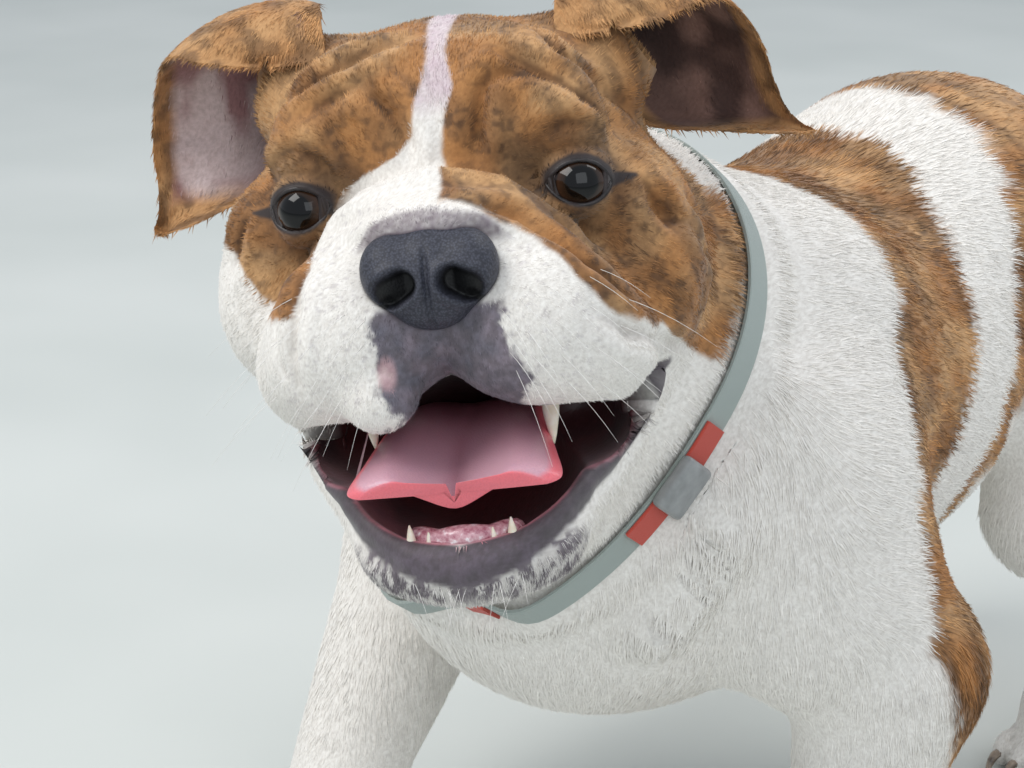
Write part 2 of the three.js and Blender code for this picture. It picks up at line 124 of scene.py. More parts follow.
def egg(centre, radii):
    centre, radii = np.array(centre, float), np.array(radii, float)

    def form(p):
        q = (p - centre) / radii
        far = np.sqrt((q * q).sum(1))
        steep = np.sqrt(((q / radii) ** 2).sum(1))
        return far * (far - 1) / np.maximum(steep, 1e-9)

    return form


def chain(*stations):
    """A row of joined tapering limbs through points x, y, z, radius."""
    rows = np.array(stations, float)

    def form(p):
        nearest = np.full(len(p), 1e9)
        for a, b in zip(rows[:-1], rows[1:]):
            along = b[:3] - a[:3]
            t = np.clip((p - a[:3]) @ along / (along @ along), 0, 1)
            off = np.linalg.norm(p - a[:3] - t[:, None] * along, axis=1)
            nearest = np.minimum(nearest, off - (a[3] + (b[3] - a[3]) * t))
        return nearest

    return form


def soft(a, b, k):
    return np.minimum(a, b) - np.maximum(k - np.abs(a - b), 0) ** 2 / (4 * k)


def carved(a, b, k):
    return -soft(-a, b, k)


def pair(form):
    return lambda p: form(np.column_stack((np.abs(p[:, 0]), p[:, 1], p[:, 2])))


def joined(first, *rest):
    def form(p):
        d = first(p)
        for other, k in rest:
            d = soft(d, other(p), k)
        return d

    return form


# The head's forms, in its own frame
FACE = joined(
    egg((0, 12, 16), (76, 76, 56)),
    (pair(egg((29, -34, 36), (29, 26, 27))), 14),
    (pair(egg((EYE_X - 6, -45, 21), (21, 15, 13))), 10),
    (pair(egg((64, -18, -8), (27, 34, 24))), 14),
    (pair(egg((CHEEK_X, 8, -38), (37, 54, 48))), 20),
    (egg((0, -66, -30), (50, 40, 38)), 12),
    (egg((0, -86, -10), (27, 24, 13)), 8),
    (pair(egg((32, -81, -48), (35, 31, 33))), 8),
    (pair(egg((52, -54, -60), (26, 42, 27))), 12),
    (
        pair(chain((0, -76, 6, 7), (24, -72, 0, 7), (44, -63, -18, 7), (62, -48, -40, 7), (72, -26, -56, 6))),
        8,
    ),
    (egg((-24, -97, -71), (15, 14, 14)), 6),
)
# Mounds that carry the ears, and the pads over the brows
MOUNDS = [
    (pair(egg((58, 14, 48), (30, 26, 22))), 16),
    (pair(egg((36, -46, 30), (24, 16, 16))), 10),
    (pair(egg((78, -22, -40), (18, 24, 26))), 12),
]
# Creases of loose skin on the brows, round the eyes and down the cheeks: how deep each is, then its points
CREASES = [
    (2.8, (16, -64, 12), (18, -62, 25), (20, -61, 39), (24, -60, 44), (31, -59, 44), (39, -58, 40)),
    (2.6, (22, -57, 55), (29, -55, 52), (43, -56, 42), (57, -53, 31), (65, -46, 24), (72, -38, 12)),
    (2.4, (20, -12, 69), (34, -28, 64), (50, -44, 51), (61, -29, 39), (72, -8, 28), (80, 8, 18)),
    (1.6, (42, -61, 19), (52, -59, 24), (62, -54, 20), (68, -45, 14), (74, -42, 5)),
    (
        3.2, (9, -97, 2), (20, -95, -3), (33, -86, -8), (44, -87, -17), (56, -90, -28), (66, -82, -38),
        (78, -64, -50),
    ),
    (1.7, (44, -69, -8), (50, -70, -16), (58, -80, -26)),
    (2.2, (77, -48, -8), (86, -38, -16), (93, -19, -30), (97, 1, -42)),
    (2.2, (77, -46, 0), (83, -40, -16), (86, -33, -34), (84, -34, -48)),
    (2.6, (56, -100, -46), (68, -86, -56), (80, -40, -66), (88, 4, -72)),
    (3.0, (93, -20, -10), (97, -6, -30), (95, -6, -48), (90, -4, -62)),
    (2.8, (-2, -26, 66), (-16, -42, 61), (-32, -53, 54), (-48, -51, 46), (-60, -42, 36)),
    (2.4, (-23, -58, 47), (-35, -59, 42), (-48, -56, 34), (-60, -47, 26), (-70, -36, 14)),
    (2.6, (-21, -60, 43), (-15, -61, 36), (-12, -62, 31), (-9, -64, 20), (-10, -68, 12)),
    (1.8, (-70, -44, 8), (-62, -54, 20), (-52, -58, 24), (-44, -60, 18), (-38, -57, 6)),
    (
        2.6, (-20, -92, 0), (-38, -80, -6), (-48, -88, -20), (-52, -103, -36), (-54, -103, -52),
        (-53, -99, -66),
    ),
    (1.2, (-58, -95, -32), (-60, -98, -47), (-58, -98, -62)),
    (1.8, (-44, -68, -7), (-52, -64, -14), (-62, -54, -23), (-70, -50, -36)),
    (2.2, (-77, -45, 2), (-83, -40, -12), (-87, -30, -30), (-84, -24, -48)),
    (2.6, (-93, -20, -10), (-97, -6, -30), (-95, -6, -48), (-88, -2, -66)),
    (1.8, (2, -120, -44), (3, -120, -58), (3, -116, -76)),
    (2.0, (30, -96, -134), (44, -84, -126), (56, -66, -116)),
    (2.0, (-30, -96, -134), (-44, -84, -126), (-56, -66, -116)),
]
CREASE_WIDTH = 2.6
CREASE_DEPTH = 1.55
SWELL_DEPTH = 0.42


def crease_height(h):
    """How far the skin sinks along the creases and swells beside them, in the head's frame."""
    height = np.zeros(len(h))
    for depth, *stations in CREASES:
        rows = np.array(stations, float)
        ends = np.cumsum([0] + [np.linalg.norm(b - a) for a, b in zip(rows[:-1], rows[1:])])
        nearest, share = np.full(len(h), 1e9), np.zeros(len(h))
        for a, b, start in zip(rows[:-1], rows[1:], ends):
            along = b - a
            t = np.clip((h - a) @ along / (along @ along), 0, 1)
            off = np.linalg.norm(h - a - t[:, None] * along, axis=1)
            closer = off < nearest
            nearest[closer] = off[closer]
            share[closer] = (start + t[closer] * np.linalg.norm(along)) / ends[-1]
        fade = np.clip(np.minimum(share, 1 - share) * 5 + 0.15, 0, 1)
        dip = np.exp(-((nearest / CREASE_WIDTH) ** 2))
        swell = np.exp(-(((nearest - 3.1 * CREASE_WIDTH) / (1.5 * CREASE_WIDTH)) ** 2))
        height += CREASE_DEPTH * depth * fade * (SWELL_DEPTH * swell - dip)
    return height


LIDS = pair(egg((EYE_X, -50, 0), (EYE_RADIUS + LID, EYE_RADIUS + LID, EYE_RADIUS + LID)))
MOUTH = joined(egg((0, -52, -102), (44, 62, 34)), (egg((2, -114, -86), (13, 22, 20)), 6))
JAW_FLESH = joined(
    egg((0, -78, -135), (35, 24, 19)),
    (egg((0, -40, -131), (43, 54, 22)), 16),
    (pair(chain((28, -68, -130, 15), (52, -22, -102, 17), (62, 16, -66, 22))), 14),
    (
        pair(
            chain((0, -99, -137, 5), (19, -95, -131, 5), (36, -79, -119, 5), (55, -50, -104, 6), (74, -14, -82, 6))
        ),
        6,
    ),
    (egg((0, 18, -92), (54, 54, 38)), 22),
)
JAW_BOWL = joined(egg((0, -58, -102), (31, 44, 24)), (pair(egg((42, -44, -90), (22, 42, 18))), 12))
LIP_LINE = pair(
    chain((0, -103, -136, 3), (19, -99, -130, 3), (37, -83, -118, 3), (56, -53, -103, 3), (76, -16, -81, 3))
)
LEATHER = joined(
    egg((0, -104, -28), (0.76 * NOSE_X, 14, 19)),
    (pair(egg((0.6 * NOSE_X, -105, -24), (0.44 * NOSE_X, 12, 13))), 5),
)


def eye_frame(side):
    """The middle of an eye, the way to its outer corner, its gaze and the way up across its lids."""
    turn = Matrix.Rotation(math.radians(14 * side), 3, "Z") @ Matrix.Rotation(math.radians(4 * side), 3, "Y")
    across, gaze, up = turn @ Vector((1, 0, 0)), turn @ Vector((0, -1, 0)), turn @ Vector((0, 0, 1))
    return np.array((EYE_X * side, -50, 0.0)), np.array(across), np.array(gaze), np.array(up)


RIM_RADIUS = 0.95
ALMOND_HALF_WIDTH = 12.3
ALMOND_HALF_HEIGHT = 8.4
ALMOND_RADIUS = (ALMOND_HALF_WIDTH**2 + ALMOND_HALF_HEIGHT**2) / (2 * ALMOND_HALF_HEIGHT)


def almond(side, p):
    """How far points are from the opening of one eye's lids, seen along its gaze."""
    middle, across, gaze, up = eye_frame(side)
    q = p - middle
    x, z, ahead = q @ across, q @ up, q @ gaze
    shift = ALMOND_RADIUS - ALMOND_HALF_HEIGHT
    opening = np.maximum(np.hypot(x, z + shift), np.hypot(x, z - shift)) - ALMOND_RADIUS
    return np.maximum(opening, 3 - ahead), opening, ahead


def head_form(p):
    d = FACE(p)
    for mound, k in MOUNDS:
        d = soft(d, mound(p), k)
    d = soft(d, LIDS(p), 3)
    return soft(d, JAW_FLESH(p), 3)


# The body's forms
TRUNK = joined(
    egg((0, 20, CHEST_Z), (CHEST_HALF, 132, 108)),
    (egg((0, CHEST_FRONT + 72, 222), (92, 74, 82)), 40),
    (pair(egg((62, 34, 290), (56, 76, 66))), 30),
    (egg((0, 130, 254), (112, 120, 104)), 40),
    (egg((0, 228, 296), (88, 100, 86)), 40),
    (egg((0, RUMP_BACK - 90, 286), (94, 90, 86)), 40),
)
NECK = joined(
    chain((0, 30, 272, 96), (8, -66, 322, 92), (10, -112, 358, 84)),
    (chain((4, -60, 262, 72), (16, -122, 300, 58)), 30),
)
TAIL = chain(
    (0, RUMP_BACK - 16, 296, 17), (4, RUMP_BACK + 12, 288, 14),
    (10, RUMP_BACK + 26, 268, 10), (14, RUMP_BACK + 28, 246, 6),
)


def foreleg(side, step):
    x = side * LEG_X
    return joined(
        egg((side * 104, -4, 232), (48, 62, 84)),
        (chain((side * 112, 8, 196, 48), (x * 1.06, 22 - 0.3 * step, ELBOW_Z, 45)), 20),
        (
            chain(
                (x * 1.06, 18 - 0.3 * step, ELBOW_Z, 43),
                (x * 1.02, -2 - 0.8 * step, 76, 31),
                (x, -10 - step, 34, 29),
            ),
            12,
        ),
    )


def hindleg(side, step):
    x, back = side * HIND_X, RUMP_BACK - 70
    return joined(
        egg((side * 78, back, 248), (46, 74, 88)),
        (chain((side * 88, back - 28, 210, 50), (x * 1.1, back - 36 - 0.3 * step, 166, 38)), 20),
        (
            chain(
                (x * 1.1, back - 36 - 0.3 * step, 166, 36),
                (x, back + 44 - step, 96, 21),
                (x, back + 26 - step, 34, 22),
            ),
            12,
        ),
    )


def paw(x, y, size):
    """A paw's four toes and its pad."""
    def form(p):
        q = (p - np.array((x, y, -2))) / size
        d = soft(egg((0, 10, 20), (26, 27, 20))(q), egg((0, 16, 38), (24, 22, 26))(q), 12)
        for k in (-1.5, -0.5, 0.5, 1.5):
            d = soft(d, egg((k * 14.5, -14 + abs(k) * 5, 13), (8.6, 17, 13))(q), 2.5)
        return d * size

    return form


PAWS = {
    "forepaw_left": (LEG_X, -22 + 20, 1),
    "forepaw_right": (-LEG_X, -22 - 80, 1),
    "hindpaw_left": (HIND_X, RUMP_BACK - 58 - 30, 0.9),
    "hindpaw_right": (-HIND_X, RUMP_BACK - 58 + 30, 0.9),
}
LEGS = [
    (foreleg(LEFT, -20), (LEG_X, 0, 0)),
    (foreleg(RIGHT, 80), (-LEG_X, -60, 0)),
    (hindleg(LEFT, 30), (HIND_X, RUMP_BACK - 70, 0)),
    (hindleg(RIGHT, -30), (-HIND_X, RUMP_BACK - 70, 0)),
]
# Loose skin from the corners of the jaw down the throat to the chest, and over the elbows
THROAT_FOLDS = [
    (chain((76, -92, 300, 12), (64, -116, 262, 13), (44, -124, 222, 12)), 14),
    (chain((-52, -140, 290, 12), (-30, -146, 252, 13), (-14, -134, 214, 12)), 14),
    (chain((106, -34, 300, 12), (104, -72, 252, 14), (84, -92, 206, 12)), 16),
    (chain((-92, -60, 296, 12), (-92, -88, 248, 14), (-74, -96, 206, 12)), 16),
]


def body_form(p):
    d = soft(TRUNK(p), NECK(p), 40)
    for fold, k in THROAT_FOLDS:
        d = soft(d, fold(p), k)
    for leg, _ in LEGS:
        d = soft(d, leg(p), 22)
    for x, y, size in PAWS.values():
        d = soft(d, paw(x, y, size)(p), 6)
    return soft(d, TAIL(p), 8)


HEAD_REACH = 215
ROLL_HEIGHT = 2.6
ROLL_AT = 15
ROLL_WIDTH = 7
COLLAR_ROWS = np.array(Matrix.Rotation(math.radians(COLLAR_LEAN), 3, "X"))


def collar_height(p):
    """How far points are along the neck from the collar's middle, towards the head."""
    return (p - np.array(COLLAR_MIDDLE)) @ COLLAR_ROWS[:, 2]


def neck_roll(p):
    """The loose skin that stands up on both sides of the collar."""
    n = collar_height(p)
    near = np.linalg.norm(p - np.array(COLLAR_MIDDLE), axis=1) < 150
    rolls = sum(np.exp(-(((n - at) / ROLL_WIDTH) ** 2)) for at in (ROLL_AT, -ROLL_AT))
    return near * ROLL_HEIGHT * rolls


def skin_form(p, depth=0.0):
    """The whole dog without its ears, lying this deep inside its coat."""
    d = body_form(p) - neck_roll(p)
    h = in_head(p)
    near = np.linalg.norm(h - np.array((0, -20, -40)), axis=1) < HEAD_REACH
    q = h[near]
    around = soft(d[near], head_form(q), 12)
    around = carved(around, MOUTH(q), 3)
    around = carved(around, JAW_BOWL(q), 3)
    around += depth
    for side in (LEFT, RIGHT):
        around = carved(around, almond(side, q)[0], 1.2)
    d += depth
    d[near] = around
    return d


# Meshes


def mesh_points(mesh):
    points = np.empty(len(mesh.vertices) * 3, np.float32)
    mesh.vertices.foreach_get("co", points)
    return points.reshape(-1, 3).astype(float)


def mesh_normals(mesh):
    normals = np.empty(len(mesh.vertices) * 3, np.float32)
    mesh.vertex_normals.foreach_get("vector", normals)
    return normals.reshape(-1, 3)


def set_points(mesh, points):
    mesh.vertices.foreach_set("co", np.ascontiguousarray(points, np.float32).ravel())
    mesh.update()


def to_body(points):
    """Metres in the row frame to millimetres in the body's frame."""
    return points * 1000 - SHIFT


def to_row(points):
    return (points + SHIFT) / 1000


def settle(points, form, rounds, most=3.0):
    """Points moved onto a form along its slope."""
    h = 0.35
    for _ in range(rounds):
        d = form(points)
        slope = np.column_stack([form(points + h * axis) - d for axis in np.eye(3)]) / h
        steep = np.maximum((slope**2).sum(1), 0.05)
        points = points - slope * (np.clip(d, -most, most) / steep)[:, None]
    return points


def new_piece(name, bm, material, smooth=True):
    """A finished piece from a bmesh whose points are in millimetres in the body's frame."""
    mesh = bpy.data.meshes.new(name)
    bm.to_mesh(mesh)
    bm.free()
    set_points(mesh, to_row(mesh_points(mesh)))
    return dress(name, mesh, material, smooth)


def dress(name, mesh, material, smooth=True):
    mesh.shade_smooth() if smooth else mesh.shade_flat()
    piece = bpy.data.objects.new(name, mesh)
    bpy.context.scene.collection.objects.link(piece)
    mesh.materials.append(material)
    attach(piece, "root")
    return piece


def moved(bm, to_point):
    """Every point of a bmesh moved by a function of numpy rows."""
    points = to_point(np.array([v.co for v in bm.verts]))
    for v, co in zip(bm.verts, points):
        v.co = co
    return bm


def sweep(path, shape, closed=False):
    """A strip drawn along a path. shape(i) gives the corners of its cut across, in order, at place i."""
    bm = bmesh.new()
    first = [bm.verts.new(co) for co in shape(0)]
    loop = bm.faces.new(first)
    start = loop
    edges = list(loop.edges)
    for i in range(1, len(path)):
        made = bmesh.ops.extrude_edge_only(bm, edges=edges)["geom"]
        corners = [v for v in made if isinstance(v, bmesh.types.BMVert)]
        edges = [e for e in made if isinstance(e, bmesh.types.BMEdge)]
        order = {v: min(range(len(first)), key=lambda k: (v.co - first[k].co).length) for v in corners}
        ring = [None] * len(first)
        for v, k in order.items():
            ring[k] = v
        for v, co in zip(ring, shape(i)):
            v.co = co
        first = ring
    if closed:
        bm.faces.remove(start)
        loops = [e for e in bm.edges if e.is_boundary]
        bmesh.ops.bridge_loops(bm, edges=loops)
    else:
        bm.faces.new(first)
    bmesh.ops.recalc_face_normals(bm, faces=bm.faces)
    return bm


def add_to(bm, one):
    """Joins a second bmesh to the first and frees it."""
    mesh = bpy.data.meshes.new("part")
    one.to_mesh(mesh)
    one.free()
    bm.from_mesh(mesh)
    bpy.data.meshes.remove(mesh)


def unit(v):
    v = np.asarray(v, float)
    return v / np.maximum(np.linalg.norm(v, axis=-1, keepdims=True), 1e-9)


def rounded_tube(path, radii, sides=8, closed=False):
    """A round tube along a path of points, with a radius at each."""
    path = np.array(path, float)
    ways = unit(np.roll(path, -1, 0) - np.roll(path, 1, 0)) if closed else unit(np.gradient(path, axis=0))
    side = unit(np.cross(ways[0], (0.3, 0.5, 0.8)))
    frames = []
    for way in ways:
        side = unit(side - way * (side @ way))
        frames.append((side, np.cross(way, side)))

    def shape(i):
        a, b = frames[i]
        angles = [2 * math.pi * k / sides for k in range(sides)]
        return [Vector(path[i] + radii[i] * (math.cos(t) * a + math.sin(t) * b)) for t in angles]

    return sweep(path, shape, closed)


def hollow(v):
    return 1 - v * v


def lobes(v):
    """The tongue rises from a groove to a lobe on each side, and droops past it."""
    side = np.sqrt(v * v + 0.02)
    rise = np.maximum(0, 1 - side / LOBE) ** 1.3
    return rise + 0.33 * (np.maximum(0, side - LOBE) / (1 - LOBE)) ** 2


def leaf_numbers(mesh):
    """Where each point of a leaf's mesh was on it: along it, across it, and on its outside or its inside."""
    found = []
    for name in ("leaf_along", "leaf_across", "leaf_face"):
        numbers = np.empty(len(mesh.vertices), np.float32)
        mesh.attributes[name].data.foreach_get("value", numbers)
        found.append(numbers.astype(float))
    return found


def leaf(ribs, across, along, bend=hollow):
    """A bent leaf through ribs: each has a middle, a side way, an outside way, and its size.

    A size is a half width, a hollow and a thickness.
    """
    rows = np.array([[*rib["at"], *rib["side"], *rib["face"], *rib["size"]] for rib in ribs], float)
    bm = bmesh.new()
    bmesh.ops.create_uvsphere(bm, u_segments=across, v_segments=along, radius=1)
    layers = [bm.verts.layers.float.new(name) for name in ("leaf_along", "leaf_across", "leaf_face")]
    for v in bm.verts:
        rim = math.sqrt(max(1 - v.co.z**2, 1e-9))
        v[layers[0]] = (1 - v.co.z) / 2
        v[layers[1]] = v.co.x / rim if rim > 1e-3 else 0.0
        v[layers[2]] = v.co.y / rim if rim > 1e-3 else 0.0

    def place(points):
        t = np.clip((1 - points[:, 2]) / 2, 0, 1) * (len(rows) - 1)
        i = np.clip(t.astype(int), 0, len(rows) - 2)
        f = (t - i)[:, None]
        p0, p1, p2, p3 = (rows[np.clip(i + k, 0, len(rows) - 1)] for k in (-1, 0, 1, 2))
        bends = (2 * p1, p2 - p0, 2 * p0 - 5 * p1 + 4 * p2 - p3, 3 * p1 - p0 - 3 * p2 + p3)
        row = 0.5 * (bends[0] + bends[1] * f + bends[2] * f**2 + bends[3] * f**3)
        rim = np.sqrt(np.maximum(1 - points[:, 2] ** 2, 0))
        v = np.where(rim < 1e-6, 0, points[:, 0] / np.maximum(rim, 1e-6))
        w = np.where(rim < 1e-6, 0, points[:, 1] / np.maximum(rim, 1e-6))
        side = unit(row[:, 3:6])
        face = row[:, 6:9]
        face = unit(face - side * (face * side).sum(1, keepdims=True))
        taper = np.minimum(1, rim * 2.2)
        out = row[:, 0:3] + side * (v * row[:, 9] * taper)[:, None]
        return out + face * (row[:, 10] * bend(v) + w * row[:, 11] * taper / 2)[:, None]

    moved(bm, place)
    bmesh.ops.remove_doubles(bm, verts=bm.verts, dist=0.01)
    bmesh.ops.recalc_face_normals(bm, faces=bm.faces)
    return bm


# Colours, given as on a screen and used as light


def light(*rgb):
    return tuple(((c / 255 + 0.055) / 1.055) ** 2.4 if c > 10 else c / 255 / 12.92 for c in rgb)


WHITE = light(238, 234, 228)
TAN = light(176, 124, 74)
FAWN = light(200, 156, 108)
DARK = light(62, 44, 34)
SOOT = light(36, 30, 33)
MAUVE = light(112, 98, 108)
GUM = light(206, 142, 154)
CHEEK_LINING = light(184, 126, 138)
# Painted shade for the back of the mouth
MOUTH_DEPTH_SHADE = light(70, 26, 28)


def scramble(cells, seed):
    """A number from 0 to 1 for each whole-number cell."""
    a = cells.astype(np.int64)
    n = a[:, 0] * 73856093 ^ a[:, 1] * 19349663 ^ a[:, 2] * 83492791 ^ seed * 2654435761
    n = (n ^ (n >> 13)) * 1274126177 & 0x7FFFFFFF
    return ((n ^ (n >> 16)) & 0xFFFF) / 65535


def cloud(p, size, seed=0):
    """Smooth noise from 0 to 1 with lumps of this size."""
    q = p / np.asarray(size, float)
    base = np.floor(q)
    f = q - base
    f = f * f * (3 - 2 * f)
    total = np.zeros(len(p))
    for corner in np.ndindex(2, 2, 2):
        c = np.array(corner)
        weight = np.prod(np.where(c, f, 1 - f), axis=1)
        total += weight * scramble(base + c, seed)
    return total


def step(edge, width, value):
    """0 below an edge and 1 above it, over a width."""
    t = np.clip((value - edge) / width + 0.5, 0, 1)
    return t * t * (3 - 2 * t)


def mix(a, b, t):
    t = np.asarray(t)[:, None]
    return np.asarray(a, float) * (1 - t) + np.asarray(b, float) * t


def markings(p):
    """Three things at points of the body's frame: the coat's colour with painted shade in the creases, round the
    eyes and deep in the mouth, how bare it is, and the mouth's lining.
    """
    h = in_head(p)
    x, y, z = h.T
    wobble = (cloud(p, 9, 3) - 0.5) * 7 + (cloud(p, 3, 4) - 0.5) * 3
    side = np.abs(x)
    # Brindle: tan with dark bars that follow the ribs on the body and the folds on the face
    bars = cloud(np.column_stack((p[:, 0] * 0.25, p[:, 1] + p[:, 2] * 0.2, p[:, 2] * 0.28)), 6, 7)
    fine = cloud(p, 2.2, 9)
    dusk = cloud(p, 26, 5)
    on_head = step(0, 24, 118 - np.linalg.norm((h - (0, 0, -10)) * (1, 1, 1.05), axis=1))
    bar_share = np.where(on_head > 0.5, 0.42, 0.46)
    barred = step(0.55, 0.3, bars * 0.75 + dusk * 0.35) * bar_share
    dark_share = np.clip(barred + step(0.62, 0.3, fine) * 0.35, 0, 1)
    brindle = mix(mix(TAN, FAWN, step(0.5, 0.5, cloud(p, 14, 6))), DARK, dark_share)
    # Where the coat is brindle on the body: a band down from the withers, and the back behind a white stripe
    middle = np.interp(p[:, 2], (100, 150, 186, 240, 300, 360), (36, 33, 28, 52, 79, 115))
    half = np.interp(p[:, 2], (90, 120, 150, 186, 240, 300, 360), (2, 8, 15, 24, 42, 50, 46))
    drift = (cloud(p, 62, 51) - 0.5) * 90 + (cloud(p, 20, 52) - 0.5) * 26 + wobble
    slant = p[:, 1] - middle + wobble * 1.3 + drift * 0.08
    reach = np.interp(p[:, 2], (190, 250, 300, 370), (0, 40, 110, 240)) + drift
    band = step(0, 8, half - np.abs(slant)) * step(0, 20, p[:, 0] + reach)
    back = step(50, 8, slant - half) * step(0, 14, p[:, 2] - 228 - 0.16 * (p[:, 1] - 200) + drift)
    thigh = step(0, 10, 62 - np.hypot(p[:, 1] - 285, (p[:, 2] - 230) * 0.8) + drift * 0.6)
    rear = step(RUMP_BACK - 40, 14, p[:, 1] + wobble) * step(0, 14, p[:, 2] - 196 + drift)
    on_body = np.maximum.reduce([band, back, thigh, rear])
    colour = mix(np.broadcast_to(WHITE, p.shape), brindle, on_body)
    # The brown cap of the head, down to the folds that frame the white muzzle
    crown = step(0, 8, np.interp(side, (0, 30, 60, 90, 110), (16, 20, 40, 52, 60)) - y + wobble * 0.6)
    cap = crown * step(0, 10, 128 - np.linalg.norm(h, axis=1))
    left_edge = np.interp(
        x, (7, 16, 33, 47, 57, 63, 73, 80, 87, 97), (-1, -3, -14, -25, -38, -46, -52, -58, -72, -80)
    )
    right_edge = np.interp(
        -x, (0, 10, 29, 38, 45, 53, 62, 75, 86, 100), (7, 6, 7, 3, -13, -38, -38, -33, -13, -4)
    )
    brown = cap * step(0, 3.5, z - np.where(x > 0, left_edge, right_edge) + wobble * 0.4)
    heights = (7, 11, 17, 24, 32, 40, 55, 65)
    blaze_left = np.interp(z, heights, (-34, -27, -14, -7.5, -6, -4, -0.3, -2))
    blaze_right = np.interp(z, heights, (5, 4, 3.3, 4.1, 6, 9.4, 6.6, 7))
    blaze = step(0, 2.2, x - blaze_left + wobble * 0.2) * step(0, 2.2, blaze_right - x + wobble * 0.2)
    blaze *= step(0, 6, 30 - y)
    brown *= 1 - blaze
    near_eye = np.minimum.reduce([np.linalg.norm(h - (s * EYE_X, -60, 1), axis=1) for s in (LEFT, RIGHT)])
    inner = np.minimum.reduce([np.linalg.norm(h - (s * 37, -60, 9), axis=1) for s in (LEFT, RIGHT)])
    shadow = np.maximum(0.5 * step(0, 12, 24 - near_eye), 0.62 * step(0, 9, 11 - inner + wobble * 0.5))
    face_brown = mix(brindle, DARK, shadow)
    colour = mix(colour, face_brown, brown)
    bare = np.zeros(len(p))
    # The blaze's skin shows mauve through its thin hair, most at its top
    colour = mix(colour, light(196, 172, 184), blaze * step(34, 14, z) * (0.45 + 0.4 * cloud(p, 4, 15)))
    # Painted shade: the colour is darkened in the creases, most on the brown
    crease_shade = np.clip(-crease_height(h) / 2.4, 0, 1) * (np.linalg.norm(h, axis=1) < 170)
    colour = mix(colour, colour * (0.42, 0.38, 0.36), crease_shade * np.where(brown > 0.5, 0.95, 0.34))
    # Black skin round the eyes, drawn out at both corners
    for s in (LEFT, RIGHT):
        middle, across, gaze, up = eye_frame(s)
        q = h - middle
        out, rise, ahead = (q @ across) * s, q @ up, q @ gaze
        flat = np.column_stack((out, np.zeros(len(out)), rise))
        opening = almond(s, h)[1]
        corners = np.minimum(
            chain((9, 0, 0, 3.4), (16, 0, 1.4, 2.2), (23, 0, 2.2, 0.8))(flat),
            chain((-9, 0, -1, 2.6), (-15, 0, -3.2, 1.2))(flat),
        )
        band = np.minimum(opening - np.interp(rise, (-6, 0, 4), (1.0, 1.5, 2.8)), corners)
        rim = step(0, 1.6, -band + wobble * 0.08) * (ahead > -4) * (near_eye < 34)
        colour = mix(colour, SOOT, rim * 0.96)
        bare = np.maximum(bare, step(0, 1, 1.6 - opening) * (ahead > 0) * (near_eye < 24))
        bare = np.maximum(bare, rim * 0.45)
    # The nose's surround, the grey of the upper lip and the muzzle's specks
    leather = LEATHER(h)
    colour = mix(colour, SOOT, step(0, 1.4, 0.4 - leather))
    bare = np.maximum(bare, step(0, 1.4, 0.6 - leather))
    above = step(0, 3, 6.2 - leather + wobble * 0.2) * step(-16, 6, z)
    colour = mix(colour, MAUVE, above * (0.55 + 0.4 * cloud(h, 1.6, 17)))
    freckle = step(0.5, 0.2, cloud(h, 2.4, 11))
    heights = (-80, -68, -60, -47, -38)
    patch_left = np.interp(z, heights, (-14, -24, -20, -23, -20))
    patch_right = np.interp(z, heights, (24, 34, 30, 26, 25))
    ragged = wobble * 0.8 + (cloud(h, 2.2, 12) - 0.5) * 5
    below = step(0, 4, x - patch_left + ragged) * step(0, 4, patch_right - x + ragged)
    below = below * step(0, 4, -38 - z) * (y < -78) * step(0, 5, z + 88)
    spot = step(0, 2.5, 3.6 - np.linalg.norm((h - (-19, -109, -61)) * (1, 0.6, 0.6), axis=1))
    lip_edge = step(0, 3, 7 - np.abs(MOUTH(h)) + ragged * 0.5) * (y < -60) * (z > -92) * (z < -55)
    speck = step(0.76, 0.1, cloud(h, 1.5, 18)) * step(0, 12, 60 - side)
    speck = speck * (y < -60) * (z < 0) * (z > -90) * (1 - brown)
    colour = mix(colour, light(148, 136, 146), speck * 0.3)
    slate = mix(light(84, 84, 98), light(126, 114, 126), cloud(h, 5, 19))
    dark_lip = np.maximum(below * 0.95, lip_edge * freckle * 0.7)
    colour = mix(colour, mix(slate, SOOT, freckle * 0.35), dark_lip)
    colour = mix(colour, light(206, 168, 172), spot * 0.75)
    bare = np.maximum(bare, np.maximum(below * 0.5, above * 0.45))
    # Dark lower lip, the freckled chin and the wet lining of the mouth, darkened towards the back by painted shade
    lip = step(0, 3, 5.5 - LIP_LINE(h) + wobble * 0.25)
    colour = mix(colour, mix(light(72, 60, 72), SOOT, cloud(h, 3.5, 25) * 0.6), lip * 0.95)
    bare = np.maximum(bare, lip)
    chin = step(0, 14, 44 - side + wobble) * step(0, 16, z + 152 + wobble) * step(0, 5, -128 - z) * (y < -66)
    colour = mix(colour, light(98, 88, 98), chin * np.clip(1.25 - freckle, 0, 1) * 0.9)
    inside = step(0, 1.6, 2.6 - np.minimum(MOUTH(h), JAW_BOWL(h)))
    inside *= (z < -62) * (np.linalg.norm(h, axis=1) < 170)
    # Painted shade: the lining darkens towards the back of the mouth
    lining = mix(mix(GUM, CHEEK_LINING, step(20, 20, side)), MOUTH_DEPTH_SHADE, step(-44, 50, y))
    lining = mix(lining, SOOT, 0.45 * step(0.55, 0.3, cloud(h, 9, 13)) * step(24, 10, side))
    colour = mix(colour, lining, inside)
    bare = np.maximum(bare, inside)
    return colour, bare, inside


# Materials


class Value:
    """A socket whose arithmetic adds nodes."""

    def __init__(self, paint, socket):
        self.paint, self.socket = paint, socket

    def _math(self, kind, a, b):
        node = self.paint.node("ShaderNodeMath", {"operation": kind}, {0: a, 1: b})
        return Value(self.paint, node.outputs[0])

    def __add__(self, other):
        return self._math("ADD", self, other)

    __radd__ = __add__

    def __sub__(self, other):
        return self._math("SUBTRACT", self, other)

    def __rsub__(self, other):
        return self._math("SUBTRACT", other, self)

    def __mul__(self, other):
        return self._math("MULTIPLY", self, other)

    __rmul__ = __mul__


